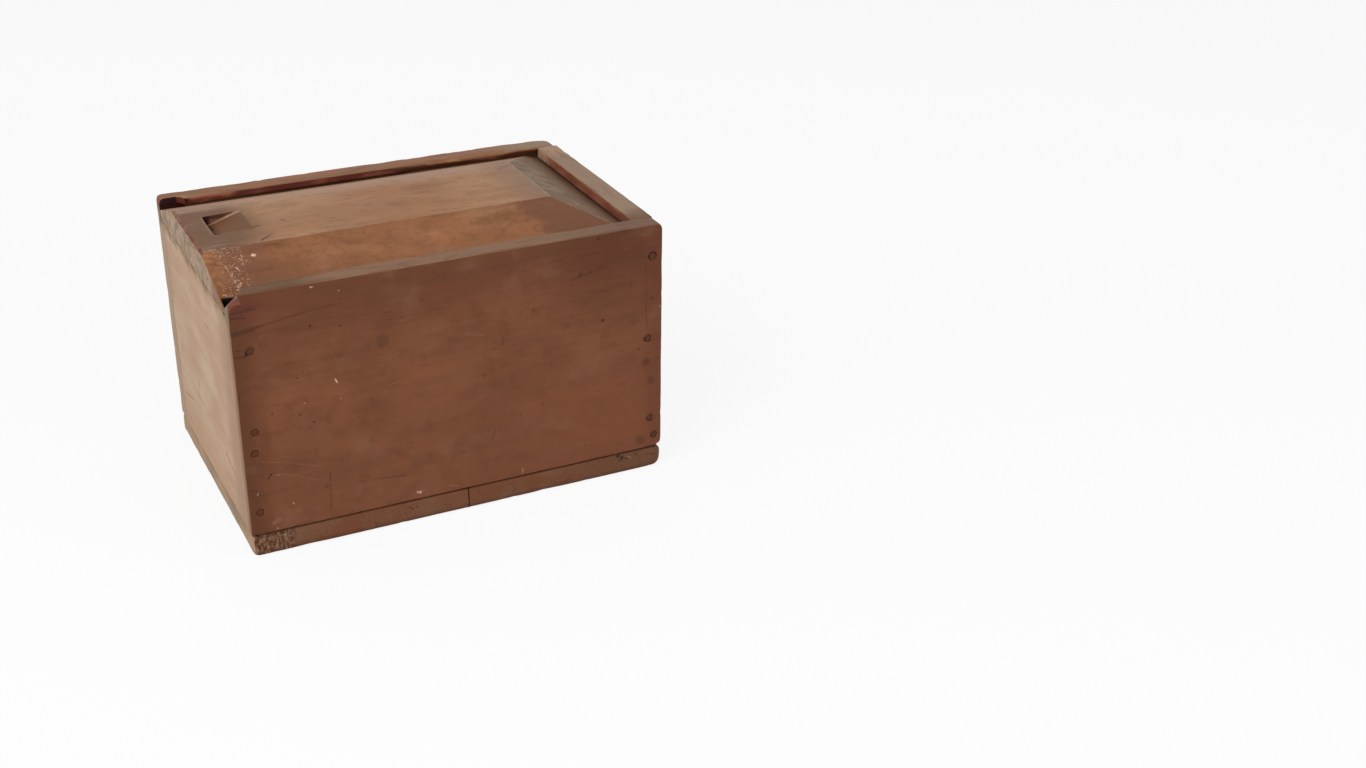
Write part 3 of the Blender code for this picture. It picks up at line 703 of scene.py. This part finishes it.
def near_end_finish():
    finish = Finish("bare_wood", Y, (0.1, 0, 0.13))
    y, z = finish.y, finish.z
    colour = bare_end(finish)
    band = (z + y * 0.1).adrift(30, 0.012, 3).between(0.148, 0.172, 0.008) * 0.6
    soft = finish.patches(120, 0.5, 0.72, 9, 3, 0.3)
    colour = colour.layered(
        (z.adrift(30, 0.03, 2).fade(0.085, 0.03, 0.8), BARE_LOW),
        (band, BARE_PINK),
        (y.adrift(50, 8 * MM).fade(-0.072, -0.094, 0.95), BARE_FRONT),
        (y.fade(0.082, 0.1) * z.fade(0.12, 0.2, 0.7), BARE_FRONT),
        (soft, BARE_FRONT))

    def on_face(across, up):
        return NEAR_FACE, across * MM, up * MM

    cracks = finish.strokes(on_face, (
        (21.6, 97.6, 27, 86, 1.7, 0.6), (27, 86, 32.1, 74.1, 1.3, 0.45),
        (-56.2, 65.6, -68, 61, 1.8, 0.55), (-66, 61.4, -84.8, 57, 1.6, 0.65),
        (-57.1, 21.6, -69.7, 21, 2, 0.6), (-40, 196, -60, 194, 1.4, 0.3),
        (-29.8, 166.9, -42.7, 167.6, 1.4, 0.45), (-23.2, 146, -73.7, 135.7, 2.6, 0.14),
        (-30, 110, -34, 92, 1.4, 0.25), (76, 112.6, 85.6, 86.7, 2, 0.2), (60, 60, 92, 52, 1.4, 0.5),
        (84, 150, 96, 146, 1.4, 0.3)))
    cracks = cracks * finish.grit(240, 0.36, 0.5, 1, 3, 0.6)
    grime = small_wear(finish, 1) * 0.5
    colour = finish.shaded(colour)
    inner = finish.seen_on(X, 1, 0.5, 0.8)
    # painted shade in the hollow at the front corner of the end's top
    hollow = finish.spot((-0.1725, -0.102, NEAR_TOP), 10 * MM, 1, 0.5) * finish.seen_on(Z, 1)
    colour = colour.layered(
        (cracks.most(grime), STAIN_DEEP),
        (inner, finish.shaded(inside_wood(finish))),
        (hollow, HOLE_SHADE))
    return finish.lay_wood(colour, 0.62 + finish.broad * 0.16, cracks)


def far_end_finish():
    finish = Finish("far_stain", Y, (0.12, 0, 0.09))
    y, z = finish.y, finish.z
    dark = small_wear(finish, 8)
    colour = dark.mix(finish.shaded(stained_coat(finish, FAR_LOW, FAR_HIGH, 7)), DIRT_AND_SHADE)
    lip = finish.patches(70, 0.4, 0.62, 3).mix(FAR_LIP_RED, FAR_LIP_DARK)
    chipped = z.adrift(160, 6 * MM).fade(0.2226, 0.2246, 0.8)
    splinters = finish.specks(420, 0.5, 0.3, 5, along=Z) * y.fade(0.07, 0.09)
    lip = lip.layered(
        (chipped, LIP_WORN),
        (y.adrift(90, 10 * MM).fade(0.066, 0.088), RAW_CORNER),
        (splinters, STAIN_DEEP),
        # painted shade at the foot of the lip, over the gap to the lid
        (z.fade(0.2172, 0.2158, 0.8), DIRT_AND_SHADE))
    inner = z.fade(RAIL_TOP - 13 * MM, RAIL_TOP - 11 * MM).mix(inside_wood(finish), lip)
    rail = y.adrift(40, 0.02).fade(-0.07, -0.1).mix(FAR_RAIL, RAIL_FAR)
    rail = y.adrift(60, 0.02).fade(0.06, 0.092).mix(rail, RAW_CORNER)
    top = finish.seen_on(Z, 1)
    colour = colour.layered(
        (finish.seen_on(X, -1, 0.5, 0.8), finish.shaded(inner)),
        (top, finish.shaded(rail_top(finish, rail))))
    return finish.lay_wood(colour, 0.54 + finish.broad * 0.2, dark)


def field_marks(finish, on_field):
    """Scratches, pits and chisel slips in the lid's field."""
    slips = finish.strokes(on_field, (
        (-130.6, -38.9, -124, -32.6, 1.5, 0.75), (-124, -32.6, -120.1, -29.7, 1, 0.8),
        (-129.7, -8.5, -123.5, -6.6, 1.1, 0.7), (-134, -12.6, -129, -10.8, 0.8, 0.4),
        (-105.6, 0, -103, -5.4, 1.3, 0.6), (-106, -17.6, -101, -18.6, 0.9, 0.4),
        (-67, -15.4, -65, -16.4, 0.9, 0.7), (-40, 30, -36, 29, 0.8, 0.4), (12, -34, 34, -37.4, 0.8, 0.5),
        (30, -37, 46, -36.6, 0.7, 0.35), (64, -24, 76, -25.4, 1, 0.4), (50, 24, 54, 23.4, 0.8, 0.4),
        (62, 6, 67, 5, 0.9, 0.5), (-20, 8, -12, 7, 0.8, 0.3), (-84, -33, -60, -35, 1.6, 0.2),
        (88, 10, 96, 8, 0.8, 0.35)))
    dents = finish.spots(on_field, (
        (-103.9, -3.4, 1.8, 0.3), (-66.3, -15.9, 1.4, 0.4), (-8, -6, 9, 0.14), (20, 20, 12, 0.14),
        (58, -10, 8, 0.12), (-90, 30, 7, 0.12)), 0.9)
    return slips.most(dents)


def lid_finish():
    finish = Finish("rubbed_wood", X, (0, -0.03, 0.15), 4 * MM)
    x, y, z = finish.here

    def on_field(across, back):
        return across * MM, back * MM, FIELD_TOP

    def on_bevel(across, back):
        return across * MM, back * MM, FIELD_TOP - (FIELD_FRONT - back * MM) * BEVEL_SLOPE

    field = finish.patches(26, 0.38, 0.62, 3).mix(FIELD_TAN, FIELD_BROWN)
    redder = x.adrift(20, 0.05).between(-0.05, 0.04, 0.03) * 0.4
    nearness = (x + abs(y - 10 * MM) * 0.25).adrift(36, 0.02)
    pale_strip = y.adrift(60, 6 * MM, 3).fade(0.04, 0.05)
    pale_strip = pale_strip * x.fade(-0.1, -0.15, 0.6)
    freckles = finish.specks(260, 0.3, 0.26, 2) * 0.42
    freckles = freckles.most(finish.patches(150, 0.5, 0.7, 2.4, 2, 0.3))
    ticks = finish.specks(420, 0.4, 0.3, 3.5, 11, along=Y) * finish.patches(22, 0.42, 0.6, 1, 12, 0.35)
    freckles = freckles.most(ticks)
    rubbed = finish.patches(90, 0.54, 0.76, 6, 5, 0.35)
    marks = field_marks(finish, on_field)
    field = field.layered(
        (redder, BEVEL_ORANGE),
        (y.adrift(40, 0.01, 3).fade(0.028, 0.056, 0.8), FIELD_REAR_STRIP),
        (x.adrift(40, 0.014).fade(0.076, 0.11, 0.75), FIELD_FAR_STRIP),
        (nearness.fade(-0.104, -0.142, 0.9), FIELD_NEAR_STRIP),
        (pale_strip, FIELD_REAR_STRIP),
        (freckles, FIELD_PIT),
        (rubbed, FIELD_REAR_STRIP),
        (marks, DIRT_AND_SHADE))

    bevel = finish.patches(24, 0.38, 0.64, 2).mix(BEVEL_ORANGE, BEVEL_BROWN)
    # spots of painted highlight on the bevel's orange patches
    light = finish.spots(on_bevel, (
        (45.7, -53.9, 12, 0.6), (62, -55, 12, 0.8), (77.9, -54, 8, 0.9), (0, -70, 8, 0.7),
        (4, -80, 7, 0.6), (-18, -64, 12, 0.4), (-60, -60, 12, 0.4), (-88, -72, 14, 0.3)), 0.95)
    across = (x + y * 0.4).adrift(70, 0.03)
    foot = y.adrift(50, 0.014, 4)
    near = x.adrift(60, 0.02)
    golden = near.fade(-0.16, -0.18, 0.9) * finish.patches(70, 0.3, 0.56, 1, 3)
    low_near = near.fade(-0.15, -0.172) * foot.fade(-0.08, -0.09, 0.7)
    centre = finish.vector("DISTANCE", finish.place, on_bevel(-194, -86), output=1)
    rippled = centre.adrift(90, 5 * MM) / (6 * MM)
    arcs = rippled.maths("FRACT").fade(0.4, 0.9) * near.fade(-0.15, -0.172, 0.45)
    mottled = finish.grit(170, 0.5, 0.66, 0.35)
    smudges = finish.strokes(on_bevel, (
        (-130.6, -46.8, -120, -47.6, 2.4, 0.85), (-123, -50.4, -118, -50.8, 1.4, 0.6),
        (72.4, -63.9, 47.1, -82.7, 4, 0.25), (104, -62, 120, -68, 3, 0.3),
        (-150, -74, -134, -72, 7, 0.22), (82, -50, 96, -66, 5, 0.25), (-20, -96, 10, -94, 3, 0.25),
        (90, -88, 130, -92, 3, 0.2)))
    knot = finish.circle(on_bevel(100.3, -53.8), 2.2 * MM, 1.2 * MM, 0.45)
    knot = knot.most(finish.spot(on_bevel(100.3, -53.8), 1.4 * MM, 0.35))
    corner = finish.spots(on_bevel, (
        (-165, -64, 7, 0.6), (-161, -78, 8, 0.9), (-164, -87, 8, 1), (-167, -50, 5, 0.7),
        (-152.5, -58, 5, 0.7), (-158, -46, 6, 0.6), (-175, -45, 4, 0.6)), 0.9)
    crumbs = corner * finish.grit(480, 0.55, 0.6, 1, 5, 0.75)
    scratches = finish.strokes(on_bevel, (
        (-150.7, -44, -150.9, -52, 0.8, 0.7), (-150.9, -52, -152.4, -64.8, 0.8, 0.6),
        (-166.2, -62.4, -164.4, -76, 0.9, 0.5), (-164.4, -76, -162.7, -90.4, 1.1, 0.7),
        (-158.3, -42.9, -152, -43.4, 1, 0.5), (-171, -45.9, -163, -43.6, 1, 0.6),
        (-158.8, -66.4, -157.8, -69.4, 1.6, 0.8), (-176, -93, -170, -95, 1.4, 0.5)))
    scratches = scratches * finish.grit(420, 0.44, 0.56, 1, 3, 0.6)
    bevel = bevel.layered(
        (finish.patches(80, 0.52, 0.72, 5, 6, 0.4), BEVEL_BROWN),
        # painted highlight on the bevel's orange patches
        (light * finish.patches(60, 0.34, 0.6, 3, 8), BEVEL_HIGHLIGHT),
        (across.fade(0.052, 0.068, 0.85), BEVEL_FAR),
        # painted shadow of the front rail along the bevel's foot
        (foot.fade(-0.087, -0.0985, 0.75), BEVEL_FOOT_SHADE),
        (near.fade(-0.112, -0.15, 0.7), BEVEL_FAR),
        (golden * 0.8, OCHRE),
        (low_near, ARC_BROWN),
        (arcs * finish.patches(110, 0.42, 0.56, 1, 1), ARC_BROWN),
        (mottled, ARC_BROWN),
        (smudges.most(knot).most(small_wear(finish, 5)), ARC_BROWN),
        (crumbs.most(scratches), PALE_FLECK),
        (finish.spot(on_bevel(-142.3, -55.5), 1.9 * MM, 0.95, 0.25), PALE_FLECK))

    far = finish.patches(50, 0.38, 0.6, 1.2).mix(FAR_GREY, FAR_BROWN)
    crust = finish.grit(240, 0.5, 0.62)
    crust = crust * x.adrift(70, 0.01).fade(0.136, 0.118, 0.8)
    far = far.layered(
        (x.adrift(50, 0.01).fade(0.13, 0.15, 0.7), FAR_BROWN),
        (crust, LICHEN))

    colour = finish.seen_on(Y, -1, 0.12, 0.24).mix(field, bevel)
    rear = y.fade(0.054, 0.066, 0.6).mix(field, FIELD_TAN)
    near_front = (-0.178, FIELD_FRONT, FIELD_TOP)
    far_front = (FIELD_FAR, FIELD_FRONT, FIELD_TOP)
    far_rear = (FIELD_FAR, FIELD_REAR, FIELD_TOP)
    worn = joined((
        finish.stroke(far_front, far_rear, 1.4 * MM, 0.6),
        finish.stroke(far_front, BEVEL_FOOT, 1.3 * MM, 0.5),
        finish.stroke(far_rear, REAR_FOOT, 1.1 * MM, 0.5),
        finish.stroke(near_front, far_front, MM, 0.3),
        finish.stroke(near_front, (-0.16, FIELD_FRONT, FIELD_TOP), 1.8 * MM, 0.8),
        finish.strokes(on_field, (
            (-163.4, -10, -162.4, 31, 1.2, 0.35), (-163.4, -11.6, -146, -11.8, 0.9, 0.35),
            (-176, 101, -40, 100.6, 1.6, 0.3)))))
    worn = worn * finish.grit(300, 0.42, 0.58)
    notch, cut_wood = chiselled(finish)
    colour = colour.layered(
        (finish.seen_on(Y, 1, 0.08, 0.16), rear),
        (finish.seen_on(X, 1, 0.15, 0.28), far),
        (worn, WORN_ARRIS),
        (notch, cut_wood))
    colour = finish.shaded(colour)

    chamfer = finish.seen_on(X, -1, 0.4, 0.6) * x.fade(NOTCH_NEAR - 6 * MM, NOTCH_NEAR - 9 * MM)
    chamfer_colour = finish.patches(70, 0.4, 0.6, 1).mix(CHAMFER_RED, CHAMFER_BROWN)
    end = finish.seen_on(X, -1, 0.85, 0.95)
    front_stain = y.adrift(60, 0.01).fade(-0.064, -0.082, 0.8)
    end_wood = front_stain.mix(bare_end(finish), BEVEL_BROWN)
    under = finish.seen_on(Z, -1, 0.5, 0.8)
    # painted shade in the chipped hole at the near front corner
    depth = (y - FIELD_FRONT) * BEVEL_SLOPE + FIELD_TOP - z
    hollow = depth.fade(0.3 * MM, 0.6 * MM) * x.fade(-0.164, -0.165)
    hollow = hollow * x.fade(-0.1786, -0.178) * y.fade(-0.0948, -0.0954)
    colour = colour.layered(
        (chamfer, chamfer_colour),
        (end, finish.shaded(end_wood)),
        (under, finish.shaded(inside_wood(finish))),
        (hollow, HOLE_SHADE))
    return finish.lay_wood(colour, 0.48 + finish.broad * 0.2 + marks * 0.2, marks)


def chiselled(finish):
    """Where the thumb notch is, and its colour: painted shade at its deep near end, a layered wall and a
    pale ridge.
    """
    x, y, z = finish.here
    inside = x.between(NOTCH_NEAR - SKIN, NOTCH_FAR + SKIN, 0.1 * MM)
    inside = inside * y.between(NOTCH_FRONT - 2 * MM, NOTCH_REAR + 2 * MM, 0.2 * MM)
    inside = inside * z.fade(FIELD_TOP - 0.05 * MM, FIELD_TOP - 0.3 * MM)
    floor = x.fade(NOTCH_NEAR, NOTCH_FAR).mix(NOTCH_FLOOR, NOTCH_FLOOR_FAR)
    # painted shade along the notch's deep near wall
    deep = x.adrift(240, 7 * MM).fade(NOTCH_NEAR + 6.5 * MM, NOTCH_NEAR + 3.4 * MM)
    height = z - (x - NOTCH_NEAR) * NOTCH_RAMP - NOTCH_BOTTOM
    wall = finish.fibres(700, 10, 2, 3).mix(NOTCH_WALL, FIELD_PIT)
    upper = z.adrift(220, 3 * MM, 3).fade(FIELD_TOP - 4.6 * MM, FIELD_TOP - 2.6 * MM)
    wall = wall.layered(
        (upper * 0.85, STAIN_DEEP),
        (deep, BREAK_SHADE),
        (height.fade(1.6 * MM, 0.6 * MM, 0.9), NOTCH_RIDGE))
    floor = floor.layered(
        (finish.specks(260, 0.3, 0.3, 2) * 0.35, FIELD_PIT),
        (deep, BREAK_SHADE),
        (y.fade(NOTCH_REAR - 2.4 * MM, NOTCH_REAR - 0.8 * MM, 0.7), NOTCH_RIDGE))
    cut = finish.seen_on(Z, 1, 0.6, 0.75).mix(wall, floor)
    return inside, cut


def base_finish():
    finish = Finish("base_wood", Y, (0.02, 0, 0.04))
    x, y, z = finish.here

    def on_face(across, up):
        return across * MM, BASE_FACE, up * MM

    coat = finish.patches(24, 0.38, 0.62, 1).mix(BASE_BROWN, STAIN_OLIVE)
    rough = x.adrift(60, 0.04).fade(-0.134, -0.156) * y.fade(0, -0.05)
    combed = finish.cloud(finish.drawn_out(1.8, 0, Z), 420, 5, 0.75)
    coat = coat.layered(
        (x.adrift(30, 0.03).fade(0.07, 0.14, 0.85), BASE_FAR),
        (z.adrift(80, 6 * MM).fade(7 * MM, 2 * MM, 0.5), STAIN_DEEP),
        (rough * combed.fade(0.53, 0.61, 0.75), BASE_GREY),
        (rough * combed.fade(0.52, 0.43, 0.8), BASE_DARK),
        # painted shade along the base's bottom edge, where it meets the floor
        (z.fade(2.2 * MM, MM, 0.9), BASE_DARK))
    pores = finish.specks(500, 0.3, 0.3, 2.5, along=Z) * 0.4
    marks = finish.strokes(on_face, (
        (-50, 15, -47, 12, 0.9, 0.7), (-79.5, 8, -78.5, 4, 0.9, 0.6), (154, 20, 157, 13, 0.9, 0.5),
        (157, 13, 161, 7, 0.7, 0.4), (165, 14, 174, 12.6, 0.8, 0.5), (175, 14, 174, 8, 0.7, 0.3),
        (-126, 8, -125, 5, 0.9, 0.4), (-20, 10, -14, 8, 1.2, 0.3), (40, 9, 46, 8, 1, 0.35),
        (88, 6, 94, 7, 0.9, 0.4)))
    marks = marks.most(finish.spots(on_face, (
        (138.4, 18.4, 1.9, 0.85), (142.2, 15.8, 1.8, 0.8), (146.1, 14.4, 1.2, 0.7), (140, 13.6, 1, 0.6),
        (-44, 14, 0.9, 0.6), (-54, 10, 0.8, 0.5), (120, 17, 0.8, 0.6), (10, 16, 0.8, 0.4))))
    seam = z.adrift(90, 1.2 * MM, 4).fade(BASE_TOP - MM, BASE_TOP - 0.3 * MM, 0.35)
    dark = joined((marks, seam, pores))
    colour = dark.mix(finish.shaded(coat), DIRT_AND_SHADE)
    pale = finish.specks(330, 0.4, 0.3) * x.fade(-0.168, -0.179)
    pale = pale.most(finish.stroke(on_face(147, 16), on_face(151, 14), MM, 0.2))
    near = finish.patches(30, 0.4, 0.6).mix(BASE_TAN, BASE_GREY)
    sawn = finish.seen_on(X, -1, 0.5, 0.8) * x.fade(-0.17, -0.175)
    inner = finish.seen_on(Z, 1, 0.8, 0.95) * x.between(NEAR_HIGH.x, FAR_LOW.x, MM)
    inner = inner * y.between(FRONT_HIGH.y, REAR_LOW.y, MM)
    rims = nail_rims(finish, "nail_base", Z, 0)
    under = rims.mix(finish.shaded(UNDERSIDE), DIRT_AND_SHADE)
    colour = colour.layered(
        (pale, BARE_PALE),
        (sawn, finish.shaded(near)),
        (inner, finish.shaded(inside_wood(finish))),
        (finish.seen_on(Z, -1, 0.8, 0.95), under))
    return finish.lay_wood(colour, 0.58 + finish.broad * 0.2, dark.most(rough * combed))


def iron_finish():
    """Nail heads, rusted and stained over with the boards."""
    finish = Finish("rusted_iron", X, (0, 0, 0))
    pitting = finish.cloud(finish.place, 1400, 3)
    colour = pitting.fade(0.4, 0.62).mix(RUST, RUST_DARK)
    return finish.lay(colour, 0.66 + pitting * 0.2, pitting * 0.2, pitting * 0.2)


def placed(name, data):
    """A new object, linked to the scene."""
    item = bpy.data.objects.new(name, data)
    bpy.context.scene.collection.objects.link(item)
    return item


def dress(node, material):
    mesh = NODES[node].data
    mesh.materials.clear()
    mesh.materials.append(material)


FINISHES = {
    "front_side": front_finish(),
    "rear_side": rear_finish(),
    "near_end": near_end_finish(),
    "far_end": far_end_finish(),
    "sliding_lid": lid_finish(),
}
BASE_FINISH = base_finish()
FINISHES["base_board_near"] = BASE_FINISH
FINISHES["base_board_far"] = BASE_FINISH
IRON_FINISH = iron_finish()
for node in NODES:
    dress(node, FINISHES.get(node, IRON_FINISH))


def sampled_arrises(bm):
    """Points close together along a board's outer arrises."""
    points = []
    for edge in bm.edges:
        if edge.is_manifold and edge.is_convex and edge.calc_face_angle() > LEAST_ARRIS:
            start, end = (vertex.co for vertex in edge.verts)
            steps = int((end - start).length / ARRIS_SAMPLE) + 1
            points += [start.lerp(end, step / steps) for step in range(steps + 1)]
    tree = kdtree.KDTree(len(points))
    for index, point in enumerate(points):
        tree.insert(point, index)
    tree.balance()
    return tree


def slice_up(bm, low, high):
    """Cuts a board's faces into cells small enough to wear unevenly."""
    for axis in (X, Y, Z):
        count = int((high[axis] - low[axis]) / WEAR_CELL)
        for step in range(1, count + 1):
            point, across = low.copy(), Vector((0, 0, 0))
            point[axis] += (high[axis] - low[axis]) * step / (count + 1)
            across[axis] = 1
            bmesh.ops.bisect_plane(
                bm, geom=bm.verts[:] + bm.edges[:] + bm.faces[:], dist=SLIVER,
                plane_co=point, plane_no=across)


def wear_at(point):
    """How deep an arris is worn there: a little everywhere, more in patches, and small nicks."""
    patch = max(noise.noise(point * PATCH_SCALE), 0)
    nick = max(noise.noise(point * NICK_SCALE) - NICK_FLOOR, 0)
    return WEAR_EVERYWHERE + patch * WEAR_PATCH + nick * WEAR_NICK


def worn_board(node, body, sharp, heavy=(), dents=()):
    """A finer mesh of one board, with its arrises worn and a few dents, all inside the CAD's skin."""
    low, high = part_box(node)
    bm = bmesh.new()
    bm.from_mesh(NODES[node].data)
    bmesh.ops.remove_doubles(bm, verts=bm.verts[:], dist=SLIVER / 10)
    arrises = sampled_arrises(bm)
    slice_up(bm, low, high)
    bm.normal_update()
    moves = {}
    for vertex in bm.verts:
        away = arrises.find(vertex.co)[2]
        depth = wear_at(vertex.co) * max(1 - away / WEAR_REACH, 0) ** 2
        for centre, radius, times in heavy:
            depth *= 1 + (times - 1) * max(1 - (vertex.co - Vector(centre)).length / radius, 0)
        move = vertex.normal * -depth
        for centre, radius, push in dents:
            move += Vector(push) * max(1 - (vertex.co - Vector(centre)).length / radius, 0)
        moves[vertex] = move
    for vertex, move in moves.items():
        vertex.co += move
    mesh = bpy.data.meshes.new(node + "_worn")
    bm.to_mesh(mesh)
    bm.free()
    mesh.shade_smooth()
    mesh.set_sharp_from_angle(angle=sharp)
    board = placed(node + "_worn", mesh)
    weighted = board.modifiers.new("even_shading", "WEIGHTED_NORMAL")
    weighted.keep_sharp = True
    mesh.materials.append(FINISHES[node])
    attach(board, body)
    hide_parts(node)


worn_board("front_side", "box", SOFT_SHADING, dents=(
    ((0.18, -0.1205, 0.0198), 6 * MM, (-MM, 0, 2.4 * MM)),))
worn_board("rear_side", "box", SOFT_SHADING, heavy=(
    ((-0.1, 0.1025, 0.2258), 0.09, 2.2), ((0.08, 0.1025, 0.2258), 0.1, 2.6)))
worn_board("near_end", "box", SOFT_SHADING)
worn_board("far_end", "box", SOFT_SHADING, heavy=(((0.165, 0.095, 0.2258), 0.03, 3),))
worn_board("sliding_lid", "lid", LID_SHADING)
worn_board("base_board_near", "box", SOFT_SHADING)
worn_board("base_board_far", "box", SOFT_SHADING)


def studio_floor():
    """A pale floor that looks white, and keeps a soft part of the box's shadow."""
    bm = bmesh.new()
    bmesh.ops.create_grid(bm, x_segments=1, y_segments=1, size=FLOOR_HALF)
    mesh = bpy.data.meshes.new("studio_floor")
    bm.to_mesh(mesh)
    bm.free()
    floor = placed("studio_floor", mesh)
    floor.location.z = -FLOOR_GAP
    material = bpy.data.materials.new("studio_floor")
    material.use_nodes = True
    tree = Tree(material.node_tree)
    tree.nodes.remove(tree.nodes["Principled BSDF"])
    seen = seen_plainly(tree) * FLOOR_GLOW
    lit = tree.add("ShaderNodeBsdfDiffuse", None, {"Color": FLOOR_PALE})
    glow = tree.add("ShaderNodeEmission", None, {"Color": WHITE, "Strength": 1.0})
    mixed = tree.add("ShaderNodeMixShader", None, (seen, lit, glow))
    tree.feed(tree.nodes["Material Output"].inputs["Surface"], mixed)
    mesh.materials.append(material)


def seen_plainly(tree):
    """1 for rays that show the backdrop itself, straight, mirrored or through glass."""
    rays = [tree.add("ShaderNodeLightPath", output=name)
            for name in ("Is Camera Ray", "Is Glossy Ray", "Is Transmission Ray")]
    return joined(rays)


def studio_world():
    world = bpy.data.worlds.new("studio")
    bpy.context.scene.world = world
    world.use_nodes = True
    tree = Tree(world.node_tree)
    strength = seen_plainly(tree) * (1 - AMBIENT) + AMBIENT
    background = world.node_tree.nodes["Background"]
    tree.feed(background.inputs["Color"], WHITE)
    tree.feed(background.inputs["Strength"], strength)


def softbox(name, place, size, power):
    lamp = bpy.data.lights.new(name, "AREA")
    lamp.shape = "SQUARE"
    lamp.size = size
    lamp.energy = power
    light = placed(name, lamp)
    light.location = place
    light.rotation_euler = (Vector(AIM) - Vector(place)).to_track_quat("-Z", "Y").to_euler()


def camera():
    """The photograph's camera, in place, aim, roll and lens."""
    azimuth, elevation = CAMERA_AZIMUTH, CAMERA_ELEVATION
    back = Vector((
        math.sin(azimuth) * math.cos(elevation),
        -math.cos(azimuth) * math.cos(elevation),
        math.sin(elevation)))
    level = Vector((math.cos(azimuth), math.sin(azimuth), 0))
    upright = back.cross(level)
    right = level * math.cos(CAMERA_ROLL) + upright * math.sin(CAMERA_ROLL)
    up = upright * math.cos(CAMERA_ROLL) - level * math.sin(CAMERA_ROLL)
    data = bpy.data.cameras.new("camera")
    data.sensor_width = SENSOR_MM
    data.lens = FOCAL_PIXELS / PHOTO_WIDTH * SENSOR_MM
    view = placed("camera", data)
    view.matrix_world = Matrix.Translation(CAMERA_PLACE) @ Matrix((right, up, back)).transposed().to_4x4()
    bpy.context.scene.camera = view


bpy.context.scene.view_settings.view_transform = "Standard"
studio_floor()
studio_world()
softbox(*KEY)
softbox(*FILL)
camera()
